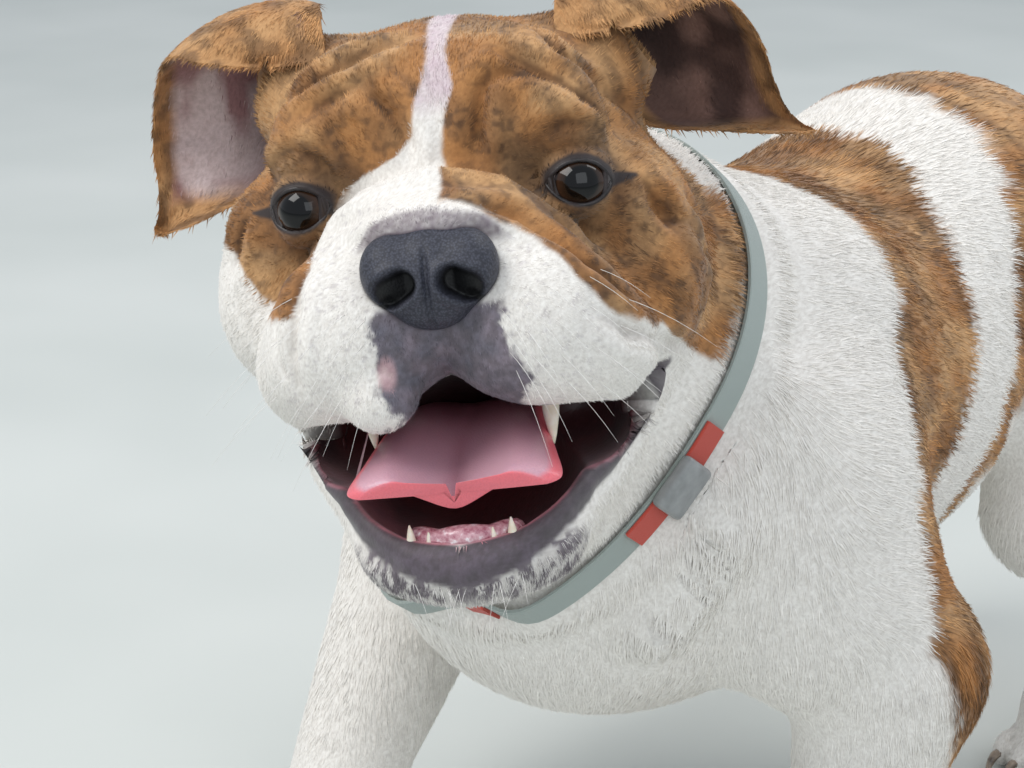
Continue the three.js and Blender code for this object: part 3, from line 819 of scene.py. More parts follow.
class Paint:
    """One node material."""

    def __init__(self, name):
        self.material = bpy.data.materials.new(name)
        self.material.use_nodes = True
        self.tree = self.material.node_tree
        self.shader = self.tree.nodes["Principled BSDF"]
        self.place = Value(self, self.node("ShaderNodeTexCoord", {}, {}).outputs["Object"])

    def node(self, kind, settings, values):
        node = self.tree.nodes.new(kind)
        for key, value in settings.items():
            setattr(node, key, value)
        for key, value in values.items():
            self.plug(node.inputs[key], value)
        return node

    def plug(self, socket, value):
        if isinstance(value, Value):
            self.tree.links.new(value.socket, socket)
        else:
            socket.default_value = value

    def set(self, **values):
        for key, value in values.items():
            self.plug(self.shader.inputs[key.replace("_", " ")], value)
        return self

    def noise(self, scale, detail=2.0, stretch=(1, 1, 1)):
        place = self.node("ShaderNodeMapping", {}, {"Vector": self.place, "Scale": stretch})
        out = self.node(
            "ShaderNodeTexNoise", {},
            {"Vector": Value(self, place.outputs[0]), "Scale": scale, "Detail": detail},
        )
        return Value(self, out.outputs["Fac"])

    def ramp(self, value, *stops):
        node = self.node("ShaderNodeValToRGB", {}, {"Fac": value})
        band = node.color_ramp
        while len(band.elements) < len(stops):
            band.elements.new(0.5)
        for element, (at, colour) in zip(band.elements, stops):
            element.position = at
            element.color = (*colour, 1)
        return Value(self, node.outputs["Color"])

    def blend(self, a, b, share, kind="MIX"):
        node = self.node("ShaderNodeMix", {"data_type": "RGBA", "blend_type": kind}, {})
        self.plug(node.inputs[0], share)
        self.plug(node.inputs[6], a if isinstance(a, Value) else (*a, 1))
        self.plug(node.inputs[7], b if isinstance(b, Value) else (*b, 1))
        return Value(self, node.outputs[2])

    def bump(self, height, strength, distance):
        node = self.node(
            "ShaderNodeBump", {}, {"Height": height, "Strength": strength, "Distance": distance},
        )
        return Value(self, node.outputs[0])

    def attribute(self, name, output="Color"):
        return Value(self, self.node("ShaderNodeAttribute", {"attribute_name": name}, {}).outputs[output])


def coat_paint():
    """Hair and skin: the piece's own colours and painted shade, broken up by fine noise."""
    paint = Paint("coat_and_skin")
    tone = paint.attribute("markings")
    wet = paint.attribute("wet", "Fac")
    strands = paint.noise(900, 3, (1, 0.35, 0.6))
    grain = paint.noise(2200, 2)
    shade = paint.ramp(strands, (0.3, (0.72, 0.7, 0.68)), (0.7, (1.0, 1.0, 1.0)))
    colour = paint.blend(tone, shade, 0.8, "MULTIPLY")
    height = strands * 0.7 + grain * 0.3
    paint.set(Base_Color=colour, Roughness=0.82 - wet * 0.5, Normal=paint.bump(height, 0.35, 0.0006))
    paint.set(Specular_IOR_Level=0.35, Sheen_Weight=0.12, Sheen_Roughness=0.5)
    return paint.material


def tuft_paint():
    paint = Paint("coat_tufts")
    tone = paint.attribute("markings")
    shade = paint.ramp(paint.noise(700, 2), (0.3, (0.86, 0.85, 0.84)), (0.7, (1.0, 1.0, 1.0)))
    paint.set(Base_Color=paint.blend(tone, shade, 0.6, "MULTIPLY"), Roughness=0.7, Specular_IOR_Level=0.3)
    return paint.material


def nose_paint():
    paint = Paint("nose_leather")
    cells = paint.node("ShaderNodeTexVoronoi", {"feature": "F1"}, {"Vector": paint.place, "Scale": 1100.0})
    pebbles = Value(paint, cells.outputs["Distance"])
    # Painted shade: the cracks between the pebbles are darker than their tops
    tone = paint.ramp(pebbles, (0.0, light(74, 76, 88)), (0.7, light(42, 43, 52)))
    tone = paint.blend(tone, paint.attribute("markings"), 1.0, "MULTIPLY")
    paint.set(
        Base_Color=tone, Roughness=0.46 + paint.noise(300) * 0.2,
        Normal=paint.bump(1 - pebbles, 0.3, 0.0004), Specular_IOR_Level=0.4,
    )
    return paint.material


def tongue_paint():
    paint = Paint("wet_tongue")
    buds = paint.noise(1400, 2)
    tone = paint.attribute("markings")
    shade = paint.ramp(buds, (0.3, (0.86, 0.84, 0.86)), (0.7, (1.0, 1.0, 1.0)))
    paint.set(
        Base_Color=paint.blend(tone, shade, 0.7, "MULTIPLY"), Roughness=0.3 + buds * 0.3,
        Normal=paint.bump(buds, 0.45, 0.0005), Subsurface_Weight=0.08, Subsurface_Scale=0.003,
        Coat_Weight=0.25,
    )
    return paint.material


def eye_paint(side):
    """Dark brown iris and black pupil round the gaze, under a wet clear surface."""
    paint = Paint("eye_" + ("left" if side > 0 else "right"))
    middle, _, gaze, _ = eye_frame(side)
    place = to_row(from_head(middle[None]))[0]
    out = HEAD_ROWS @ gaze
    off = paint.node("ShaderNodeVectorMath", {"operation": "SUBTRACT"}, {0: paint.place, 1: tuple(place)})
    off = Value(paint, off.outputs["Vector"])
    ahead = paint.node("ShaderNodeVectorMath", {"operation": "DOT_PRODUCT"}, {0: off, 1: tuple(out)})
    cosine = Value(paint, ahead.outputs["Value"]) * (1000 / EYE_RADIUS)
    iris = paint.ramp(
        cosine, (0.60, light(176, 162, 158)), (0.635, light(60, 50, 50)), (0.665, light(12, 9, 9)),
        (0.72, light(56, 36, 24)), (0.86, light(36, 24, 16)), (0.90, light(4, 4, 5)),
    )
    paint.set(Base_Color=iris, Roughness=0.08, Specular_IOR_Level=0.22, Coat_Weight=0.25, Coat_Roughness=0.02)
    return paint.material


def rim_paint():
    paint = Paint("eye_rim_skin")
    tone = paint.ramp(paint.noise(500), (0.3, light(20, 17, 18)), (0.7, light(44, 36, 36)))
    rough = 0.3 + paint.noise(900) * 0.3
    paint.set(Base_Color=tone, Roughness=rough, Normal=paint.bump(paint.noise(1600), 0.3, 0.0003))
    return paint.material


def gum_paint():
    paint = Paint("wet_gum")
    foam = paint.noise(420, 3)
    tone = paint.ramp(
        foam, (0.35, light(170, 108, 122)), (0.55, light(206, 160, 168)), (0.72, light(244, 238, 240))
    )
    paint.set(Base_Color=tone, Roughness=0.2 + foam * 0.2, Coat_Weight=0.5)
    paint.set(Normal=paint.bump(foam, 0.5, 0.001))
    return paint.material


def tooth_paint():
    paint = Paint("teeth")
    tone = paint.ramp(paint.noise(220, 2), (0.3, light(226, 214, 190)), (0.7, light(242, 236, 222)))
    paint.set(Base_Color=tone, Roughness=0.18 + paint.noise(500) * 0.12)
    paint.set(Subsurface_Weight=0.1, Subsurface_Scale=0.002)
    return paint.material


def claw_paint():
    paint = Paint("claws")
    tone = paint.ramp(paint.noise(260, 3, (1, 0.3, 1)), (0.3, light(84, 72, 64)), (0.7, light(176, 158, 140)))
    ridges = paint.noise(900, 2, (1, 0.2, 1))
    paint.set(Base_Color=tone, Roughness=0.35, Normal=paint.bump(ridges, 0.2, 0.0004))
    return paint.material


def whisker_paint():
    paint = Paint("whiskers")
    tone = paint.ramp(paint.noise(300), (0.3, light(216, 212, 206)), (0.7, light(244, 242, 238)))
    paint.set(Base_Color=tone, Roughness=0.4)
    return paint.material


def strap_paint(name, low, high):
    """Woven webbing: fine ribs across and along the strap, read from its own map, with painted shade in the
    hollows between them.
    """
    paint = Paint(name)
    place = Value(paint, paint.node("ShaderNodeUVMap", {"uv_map": "Weave"}, {}).outputs[0])
    bands = []
    for direction in ("X", "Y"):
        wave = paint.node(
            "ShaderNodeTexWave", {"wave_type": "BANDS", "bands_direction": direction},
            {"Vector": place, "Scale": 1.0, "Distortion": 0.3},
        )
        bands.append(Value(paint, wave.outputs["Fac"]))
    weave = bands[0] * bands[1]
    tone = paint.ramp(weave, (0.1, low), (0.8, high))
    paint.set(
        Base_Color=tone, Roughness=0.75 + weave * 0.1, Normal=paint.bump(weave, 0.5, 0.0005),
        Sheen_Weight=0.2,
    )
    return paint.material


def plastic_paint(name, low, high):
    paint = Paint(name)
    tone = paint.ramp(paint.noise(140, 3), (0.3, low), (0.7, high))
    rough = 0.36 + paint.noise(700) * 0.12
    paint.set(Base_Color=tone, Roughness=rough, Normal=paint.bump(paint.noise(1500), 0.12, 0.0003))
    return paint.material


PAINTS = {}


def paint_of(name, maker, *args):
    if name not in PAINTS:
        PAINTS[name] = maker(*args)
    return PAINTS[name]


def colour_attribute(mesh, name, colours):
    layer = mesh.attributes.new(name, "FLOAT_COLOR", "POINT")
    rows = np.ones((len(colours), 4), np.float32)
    rows[:, :3] = colours
    layer.data.foreach_set("color", rows.ravel())


def number_attribute(mesh, name, numbers):
    layer = mesh.attributes.new(name, "FLOAT", "POINT")
    layer.data.foreach_set("value", np.asarray(numbers, np.float32))


# Settings that a user would change


class BulldogSizes(bpy.types.PropertyGroup):
    coat_depth: FloatProperty(
        name="Coat depth", description="How deep the skin lies inside the solids, in millimetres",
        default=1.2, min=0.3, max=4,
    )
    voxel: FloatProperty(
        name="Skin grain", description="Size of the skin's faces on the body, in millimetres",
        default=4.0, min=2, max=8,
    )
    face_tufts: IntProperty(
        name="Tufts on the head", description="How many tufts the head has", default=120000, min=0,
    )
    body_tufts: IntProperty(
        name="Tufts on the body", description="How many tufts the body has", default=130000, min=0,
    )
    whisker_length: FloatProperty(
        name="Whisker length", description="Length of the longest whiskers",
        default=0.046, subtype="DISTANCE", unit="LENGTH",
    )


class BulldogColours(bpy.types.PropertyGroup):
    strap: FloatVectorProperty(
        name="Strap", description="Colour of the collar's strap",
        subtype="COLOR", default=light(190, 202, 196), size=3,
    )
    web: FloatVectorProperty(
        name="Coral", description="Colour of the strap's coral end",
        subtype="COLOR", default=light(226, 84, 66), size=3,
    )
    clasp: FloatVectorProperty(
        name="Clasp", description="Colour of the clasp",
        subtype="COLOR", default=light(150, 152, 152), size=3,
    )


def sizes():
    return bpy.context.scene.bulldog_sizes


def colours():
    return bpy.context.scene.bulldog_colours


FLESH = [
    "head", "lower_jaw", "torso", "neck", "tail", "foreleg_left", "foreleg_right", "hindleg_left",
    "hindleg_right", "forepaw_left", "forepaw_right", "hindpaw_left", "hindpaw_right",
]
SKINS = []
SWELL = 0.0006
EYE_FILL = 0.0142


def rough_skin():
    """The solids' flesh, swollen a little and remeshed as one closed skin."""
    bm = bmesh.new()
    for node in FLESH:
        one = bmesh.new()
        one.from_mesh(bpy.data.objects[node].data)
        bmesh.ops.remove_doubles(one, verts=one.verts, dist=1e-6)
        one.normal_update()
        for v in one.verts:
            v.co += v.normal * SWELL
        add_to(bm, one)
    for side in (LEFT, RIGHT):
        place = Vector(to_row(from_head([[side * EYE_X, -50, 0]]))[0])
        bmesh.ops.create_icosphere(bm, subdivisions=3, radius=EYE_FILL, matrix=Matrix.Translation(place))
    mesh = bpy.data.meshes.new("skin_rough")
    bm.to_mesh(mesh)
    bm.free()
    rough = bpy.data.objects.new("skin_rough", mesh)
    bpy.context.scene.collection.objects.link(rough)
    remesh = rough.modifiers.new("Remesh", "REMESH")
    remesh.mode = "VOXEL"
    remesh.voxel_size = sizes().voxel / 1000
    bpy.context.view_layer.update()
    out = bpy.data.meshes.new_from_object(rough.evaluated_get(bpy.context.evaluated_depsgraph_get()))
    bpy.data.objects.remove(rough)
    return out


def finer(mesh, chosen):
    """Splits each face whose middle is chosen into four."""
    bm = bmesh.new()
    bm.from_mesh(mesh)
    middles = np.array([f.calc_center_median() for f in bm.faces])
    keep = chosen(to_body(middles))
    edges = {e for f, k in zip(bm.faces, keep) if k for e in f.edges}
    bmesh.ops.subdivide_edges(bm, edges=list(edges), cuts=1, use_grid_fill=True)
    bm.to_mesh(mesh)
    bm.free()


def smoothed(bm, factor):
    bmesh.ops.smooth_vert(
        bm, verts=bm.verts, factor=factor, use_axis_x=True, use_axis_y=True, use_axis_z=True,
    )


def relaxed(mesh, factor, times):
    bm = bmesh.new()
    bm.from_mesh(mesh)
    for _ in range(times):
        smoothed(bm, factor)
    bm.to_mesh(mesh)
    bm.free()


def under_collar(p, extra):
    """How far points are outside the collar's band widened by extra, negative under it."""
    return np.abs(collar_height(p)) - COLLAR_WIDTH / 2 - extra


class BULLDOG_OT_skin(bpy.types.Operator):
    """Makes the dog's skin over all of its flesh"""

    bl_idname = "bulldog.skin"
    bl_label = "Skin"

    def execute(self, context):
        depth = sizes().coat_depth
        mesh = rough_skin()

        def settled(rounds):
            points = settle(to_body(mesh_points(mesh)), lambda p: skin_form(p, depth), rounds)
            set_points(mesh, to_row(points))
            return points

        def on_head(p):
            near = np.linalg.norm(in_head(p) - (0, -40, -35), axis=1) < 135
            return near & (collar_height(p) > 6)

        def on_face(p):
            h = in_head(p)
            near = np.linalg.norm((h - (0, -62, -30)) * (1, 1, 0.8), axis=1) < 92
            return near & (h[:, 1] < -8) & (MOUTH(h) > -6)

        settled(5)
        relaxed(mesh, 0.5, 2)
        settled(2)
        finer(mesh, on_head)
        settled(3)
        relaxed(mesh, 0.4, 1)
        finer(mesh, on_face)
        points = settled(4)
        height = crease_height(in_head(points))
        points = points + mesh_normals(mesh) * height[:, None]
        points[:, 2] = np.maximum(points[:, 2], 0.0)
        set_points(mesh, to_row(points))
        colour, bare, inside = markings(points)
        colour_attribute(mesh, "markings", colour)
        number_attribute(mesh, "wet", np.maximum(inside, bare * 0.6))
        bm = bmesh.new()
        bm.from_mesh(mesh)
        middles = to_body(np.array([f.calc_center_median() for f in bm.faces]))
        front = collar_height(middles) > 0
        bm.free()
        paint = paint_of("coat", coat_paint)
        for name, keep in (("skin_head", front), ("skin_body", ~front)):
            part = mesh.copy()
            bm = bmesh.new()
            bm.from_mesh(part)
            gone = [f for f, k in zip(bm.faces, keep) if not k]
            bmesh.ops.delete(bm, geom=gone, context="FACES")
            bm.to_mesh(part)
            bm.free()
            piece = dress(name, part, paint)
            SKINS.append(piece)
        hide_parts("head", "lower_jaw", "neck")
        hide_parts(*[n for n in FLESH if n not in ("head", "lower_jaw", "neck")])
        return {"FINISHED"}


def ear_ribs(side, tip):
    """The ribs of one ear, in the head's frame. tip is how far its tip stands out and up."""
    return [
        dict(at=(side * 70, -8, 58), side=(1, 0, side * 0.1), face=(0, -0.7, 0.7), size=(24, 5, 3.2)),
        dict(at=(side * 78, 2, 70), side=(1, 0, -side * 0.1), face=(0, -0.3, 1), size=(31, 7, 3.6)),
        dict(at=(side * 85, 18, 72), side=(1, 0, -side * 0.3), face=(side * 0.2, 0.3, 1), size=(36, 9, 4)),
        dict(at=(side * 93, 34, 58), side=(1, 0, -side * 0.3), face=(0, 1, 0.5), size=(36, 12, 4)),
        dict(at=(side * 97, 40, 38), side=(1, 0, -side * 0.2), face=(0, 1, 0), size=(35, 13, 4)),
        dict(
            at=(side * (101 + 0.4 * tip), 40, 18 + 0.3 * tip), side=(1, 0, 0), face=(0, 1, 0), size=(30, 12, 4),
        ),
        dict(at=(side * (115 + tip), 35, 4 + tip), side=(1, 0, 0), face=(0, 1, 0), size=(16, 6, 3.4)),
        dict(
            at=(side * (129 + 1.3 * tip), 30, -5 + 1.5 * tip), side=(1, 0, 0), face=(0, 1, 0), size=(5, 2, 3),
        ),
    ]


def ear_colours(side, mesh):
    """Tan outside and round the rim, and pale or dark inside the cup, with painted shade deep in the cup by its
    root. Also tells how bare each place is.
    """
    along, across, outer = leaf_numbers(mesh)
    h = in_head(to_body(mesh_points(mesh)))
    grain = cloud(h, 5, 21)
    coat = mix(mix(TAN, FAWN, cloud(h, 12, 22)), DARK, 0.55 * step(0.55, 0.3, grain))
    cup = step(0, 0.3, -outer) * step(0, 0.14, 0.78 - np.abs(across))
    cup = cup * step(0.14, 0.1, along) * step(0, 0.12, 0.8 - along)
    root = step(0.1, 0.9, -across * side) * step(0, 0.5, 0.75 - along)
    # The right ear's cup is pale; the left ear's cup is darker, partly its brown hair and partly painted shade
    if side < 0:
        lining = mix(light(226, 208, 208), light(168, 128, 130), step(0.52, 0.3, cloud(h, 12, 23)))
        lining = mix(lining, light(74, 46, 44), root * 0.9)
    else:
        lining = mix(light(150, 116, 104), light(78, 56, 50), step(0.5, 0.4, cloud(h, 11, 24)))
        lining = mix(lining, light(48, 34, 32), root * 0.7)
    return mix(coat, lining, cup), cup


EARS = []


class BULLDOG_OT_ears(bpy.types.Operator):
    """Makes the two folded ears"""

    bl_idname = "bulldog.ears"
    bl_label = "Ears"

    def execute(self, context):
        for side, tip, name in ((LEFT, 10, "ear_left"), (RIGHT, 0, "ear_right")):
            bm = leaf(ear_ribs(side, tip), 64, 84)

            def soften(points):
                """Ridges inside the cup, and a rim that rolls forwards."""
                rim = bm.verts.layers.float["leaf_across"]
                face = bm.verts.layers.float["leaf_face"]
                across = np.array([v[rim] for v in bm.verts])
                inner = np.clip(-np.array([v[face] for v in bm.verts]) * 3, 0, 1)
                lumps = (cloud(points, (15, 15, 22), 31) - 0.5) * 9 + (cloud(points, 7, 32) - 0.5) * 3
                roll = -5 * np.abs(across) ** 5
                back = roll - inner * np.maximum(lumps, -1)
                return points + np.column_stack((np.zeros(len(points)), back, roll * 0.2))

            moved(bm, soften)
            moved(bm, from_head)
            piece = new_piece(name + "_skin", bm, paint_of("coat", coat_paint))
            mesh = piece.data
            colour, cup = ear_colours(side, mesh)
            colour_attribute(mesh, "markings", colour)
            number_attribute(mesh, "wet", np.zeros(len(colour)))
            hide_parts(name)
            EARS.append((side, piece, colour, cup))
        return {"FINISHED"}


# The coat's tufts


def lie(p, normals):
    """Which way the hair lies: back from the nose, back and down over the body, down the legs."""
    h = in_head(p)
    on_face = unit(h - (0, -118, -18)) + np.array((0, 0.25, 0))
    on_face[:, 2] += np.where(h[:, 2] < -20, -0.5, 0.15)
    face_way = unit(on_face) @ HEAD_ROWS.T
    legs = step(0, 40, 190 - p[:, 2])[:, None]
    body_way = unit((1 - legs) * np.array((0, 1, -0.45)) + legs * np.array((0, 0.15, -1)))
    chest = (step(0, 60, -40 - p[:, 1]) * step(0, 40, 330 - p[:, 2]))[:, None]
    body_way = unit(body_way * (1 - chest) + chest * np.array((0, -0.1, -1)))
    share = step(0, 40, 150 - np.linalg.norm(h - (0, -20, -30), axis=1))[:, None]
    way = unit(face_way * share + body_way * (1 - share))
    return unit(way - normals * (way * normals).sum(1, keepdims=True))


def scatter(mesh, count, weight, seed):
    """Random spots over a mesh, denser where weight is higher.

    Gives their places and outward ways in the body's frame, the random numbers and each spot's nearby point.
    """
    rng = np.random.default_rng(seed)
    mesh.calc_loop_triangles()
    corners = np.empty(len(mesh.loop_triangles) * 3, np.int32)
    mesh.loop_triangles.foreach_get("vertices", corners)
    corners = corners.reshape(-1, 3)
    points = to_body(mesh_points(mesh))
    normals = mesh_normals(mesh).astype(float)
    a, b, c = (points[corners[:, k]] for k in range(3))
    area = np.linalg.norm(np.cross(b - a, c - a), axis=1) / 2
    chance = area * weight((a + b + c) / 3)
    picks = rng.choice(len(corners), size=count, p=chance / chance.sum())
    u, v = rng.random(count), rng.random(count)
    over = u + v > 1
    u[over], v[over] = 1 - u[over], 1 - v[over]
    w = 1 - u - v
    place = sum(s[:, None] * points[corners[picks, k]] for k, s in enumerate((w, u, v)))
    way = unit(sum(s[:, None] * normals[corners[picks, k]] for k, s in enumerate((w, u, v))))
    return place, way, rng, corners[picks, 0]


def tuft_shape():
    """One tuft: a flat three-sided spike, its root at the origin and its tip one unit along X."""
    bm = bmesh.new()
    bmesh.ops.create_cone(bm, cap_ends=True, segments=3, radius1=1, radius2=0, depth=1)
    bmesh.ops.rotate(bm, verts=bm.verts, matrix=Matrix.Rotation(math.radians(90), 3, "Y"))
    bmesh.ops.remove_doubles(bm, verts=bm.verts, dist=1e-5)
    bmesh.ops.triangulate(bm, faces=bm.faces)
    corners = np.array([v.co for v in bm.verts])
    corners[:, 0] += 0.5
    faces = np.array([[v.index for v in f.verts] for f in bm.faces])
    bm.free()
    return corners, faces


TUFT_POINTS, TUFT_FACES = tuft_shape()
MOST_FACES = 200000
PATCH = 0.003
EAR_TUFTS = 16000
STRIP_HALF = 22
HEAD_SEED, BODY_SEED, EAR_SEED, WHISKER_SEED = 11, 12, 13, 5
LEG_TOP = 178
FORE_END = 120


def coat_piece(name, place, normals, length, width, lift, colour, spots, rng, way):
    """A piece of the coat made of many tufts. spots are their roots' places on an unwrap round an axis."""
    count = len(place)
    side = np.cross(normals, way)
    swing = rng.normal(0, 0.16, count)[:, None]
    way = unit(way + side * swing)
    side = unit(np.cross(normals, way))
    up = normals
    lift = np.asarray(lift)[:, None]
    along = way * np.cos(lift) + up * np.sin(lift)
    t = TUFT_POINTS[:, 0]
    corners = (
        place[:, None, :] - up[:, None, :] * 0.35
        + along[:, None, :] * (t[None, :, None] * length[:, None, None])
        + side[:, None, :] * (TUFT_POINTS[None, :, 1, None] * width[:, None, None] / 2)
        + up[:, None, :] * (TUFT_POINTS[None, :, 2, None] * width[:, None, None] * 0.22)
    )
    n = len(TUFT_POINTS)
    faces = (TUFT_FACES[None] + (np.arange(count) * n)[:, None, None]).reshape(-1, 3)
    mesh = bpy.data.meshes.new(name)
    mesh.from_pydata(to_row(corners.reshape(-1, 3)), [], faces)
    colour_attribute(mesh, "markings", np.repeat(colour, n, axis=0))
    layer = mesh.uv_layers.new(name="OFBake")
    patch = np.array(((0, 0), (PATCH, 0), (0, PATCH), (PATCH, PATCH)))[:n]
    uv = np.clip(spots[:, None, :] * 0.994 + patch[None], 0, 1).reshape(-1, 2)
    layer.uv.foreach_set("vector", uv[faces.ravel()].astype(np.float32).ravel())
    piece = dress(name, mesh, paint_of("tufts", tuft_paint), smooth=False)
    if len(faces) >= MOST_FACES:
        raise RuntimeError(name + " has too many faces")
    return piece


def coat_parts(parts, place, normals, length, width, lift, colour, rng, way):
    """The coat over one skin, made as a piece for each part: its name, which tufts are in it, their spots."""
    for name, part, spots in parts:
        coat_piece(
            name, place[part], normals[part], length[part], width[part], lift[part],
            shaded(colour[part], rng), spots[part], rng, way[part],
        )


def around_axis(p, centre, axis, low, high):
    """A place on an unwrap round an axis: the angle round it, and how far along it."""
    q = p - np.asarray(centre, float)
    a, b = [k for k in range(3) if k != axis]
    turn = np.arctan2(q[:, a], q[:, b]) / (2 * math.pi) + 0.5
    return np.column_stack((turn, np.clip((p[:, axis] - low) / (high - low), 0, 1)))


def shaded(colour, rng):
    """Each tuft a little lighter or darker than its neighbours."""
    spread = 0.05 + 0.16 * (1 - np.clip(colour.mean(1) * 1.3, 0, 1))
    tone = np.clip(1 + rng.normal(0, 1, len(colour)) * spread, 0.6, 1.4)[:, None]
    return np.clip(colour * tone, 0, 1)


class BULLDOG_OT_coat(bpy.types.Operator):
    """Covers the skin and the ears with short tufts"""

    bl_idname = "bulldog.coat"
    bl_label = "Coat"

    def execute(self, context):
        head, body = SKINS
        face_weight = lambda p: 1 / (0.35 + step(-60, 90, in_head(p)[:, 1]))
        place, normals, rng, _ = scatter(head.data, sizes().face_tufts, face_weight, HEAD_SEED)
        colour, bare, _ = markings(place)
        keep = (rng.random(len(place)) > bare * 1.05) & (under_collar(place, 1) > 0)
        place, normals, colour = place[keep], normals[keep], colour[keep]
        h = in_head(place)
        muzzle = step(0, 40, 75 - np.linalg.norm(h - (0, -100, -35), axis=1))
        neck = step(20, 80, h[:, 1])
        by_crease = np.clip(np.abs(crease_height(h)) / 1.2, 0, 1) * (1 - neck)
        length = (4.6 + 3 * neck) * (1 - 0.45 * muzzle) * (1 - 0.35 * by_crease)
        length = length * rng.uniform(0.75, 1.25, len(h))
        width = 0.75 + 0.3 * neck
        lift = rng.uniform(0.10, 0.26, len(h))
        way = lie(place, normals)
        spots = around_axis(h, (0, 0, -30), 2, -210, 110)
        parts = (
            ("coat_head_left", h[:, 0] > STRIP_HALF, spots),
            ("coat_head_middle", np.abs(h[:, 0]) <= STRIP_HALF, spots),
            ("coat_head_right", h[:, 0] < -STRIP_HALF, spots),
        )
        coat_parts(parts, place, normals, length, width, lift, colour, rng, way)
        weight = lambda p: 0.35 + step(0, 60, 200 - p[:, 1]) + step(0, 40, 110 - p[:, 2])
        place, normals, rng, _ = scatter(body.data, sizes().body_tufts, weight, BODY_SEED)
        colour, bare, _ = markings(place)
        keep = (under_collar(place, 1) > 0) & ((place[:, 2] > 3) | (normals[:, 2] > -0.2))
        place, normals, colour = place[keep], normals[keep], colour[keep]
        feet = step(0, 60, 90 - place[:, 2])
        length = (9 - 4.5 * feet) * rng.uniform(0.75, 1.25, len(place))
        width = 1.25 - 0.45 * feet
        lift = rng.uniform(0.05, 0.15, len(place))
        way = lie(place, normals)
        low = place[:, 2] < LEG_TOP
        fore = place[:, 1] < FORE_END
        left = place[:, 0] > 0
        trunk_spots = around_axis(place, (0, 0, 250), 1, -200, RUMP_BACK + 60)
        leg_x = np.where(fore, LEG_X, HIND_X) * np.where(left, 1, -1)
        leg_y = np.where(fore, np.where(left, 5, -50), RUMP_BACK - 60)
        q = np.column_stack((place[:, 0] - leg_x, place[:, 1] - leg_y, place[:, 2]))
        leg_spots = around_axis(q, (0, 0, 0), 2, 0, 200)
        leg_spots[:, 0] = leg_spots[:, 0] / 2 + 0.5 * left
        parts = (
            ("coat_trunk_left", ~low & left, trunk_spots), ("coat_trunk_right", ~low & ~left, trunk_spots),
            ("coat_foreleg_left", low & fore & left, leg_spots),
            ("coat_foreleg_right", low & fore & ~left, leg_spots), ("coat_hindlegs", low & ~fore, leg_spots),
        )
        coat_parts(parts, place, normals, length, width, lift, colour, rng, way)
        for side, ear, ear_coat, cup in EARS:
            evenly = lambda p: np.ones(len(p))
            place, normals, rng, nearest = scatter(ear.data, EAR_TUFTS, evenly, EAR_SEED + side)
            colour, bare = ear_coat[nearest], cup[nearest]
            keep = rng.random(len(place)) > bare * 0.75
            place, normals, colour = place[keep], normals[keep], colour[keep]
            h = in_head(place)
            down = unit(np.array((side * 0.35, 0.1, -1))) @ HEAD_ROWS.T
            way = unit(down - normals * (normals @ down)[:, None])
            length = 4.2 * rng.uniform(0.7, 1.3, len(h))
            spots = around_axis(h, (side * 92, 24, 30), 2, -20, 90)
            coat_piece(
                "coat_ear_" + ("left" if side > 0 else "right"), place, normals, length, np.full(len(h), 0.8),
                rng.uniform(0.08, 0.2, len(h)), shaded(colour, rng), spots, rng, way,
            )
        return {"FINISHED"}


def lid_edge(count=24):
    """Places along the edges of an eye's lids: the upper one outwards to inwards, then the lower one back."""
    shift = ALMOND_RADIUS - ALMOND_HALF_HEIGHT
    widest = math.asin(ALMOND_HALF_WIDTH / ALMOND_RADIUS)
    path = []
    for lid in (1, -1):
        for k in range(count):
            angle = lid * widest * (1 - 2 * k / count)
            path.append((ALMOND_RADIUS * math.sin(angle), lid * (ALMOND_RADIUS * math.cos(angle) - shift)))
    return path


class BULLDOG_OT_eyes(bpy.types.Operator):
    """Makes the eyeballs and the dark rims of their lids"""

    bl_idname = "bulldog.eyes"
    bl_label = "Eyes"

    def execute(self, context):
        for side, name in ((LEFT, "eye_left"), (RIGHT, "eye_right")):
            middle, across, gaze, up = eye_frame(side)
            bm = bmesh.new()
            bmesh.ops.create_uvsphere(bm, u_segments=48, v_segments=32, radius=EYE_RADIUS - 0.3)
            turn = Vector((0, 0, 1)).rotation_difference(Vector(gaze)).to_matrix()
            bmesh.ops.rotate(bm, verts=bm.verts, matrix=turn)

            def bulge(points):
                ahead = unit(points) @ gaze
                return points * (1 + 0.05 * step(0.86, 0.2, ahead))[:, None] + middle

            moved(bm, bulge)
            moved(bm, from_head)
            ball = new_piece(name + "_ball", bm, paint_of(name, eye_paint, side))
            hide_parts(name)
            rim = []
            for a, b in lid_edge():
                ahead = math.sqrt(max((EYE_RADIUS + 0.2) ** 2 - a * a - b * b, 4))
                rim.append(middle + across * a * 1.01 + up * b * 1.01 + gaze * ahead)
            bm = rounded_tube(from_head(rim), [RIM_RADIUS] * len(rim), 10, closed=True)
            new_piece(name + "_rim", bm, paint_of("rim", rim_paint))
        return {"FINISHED"}


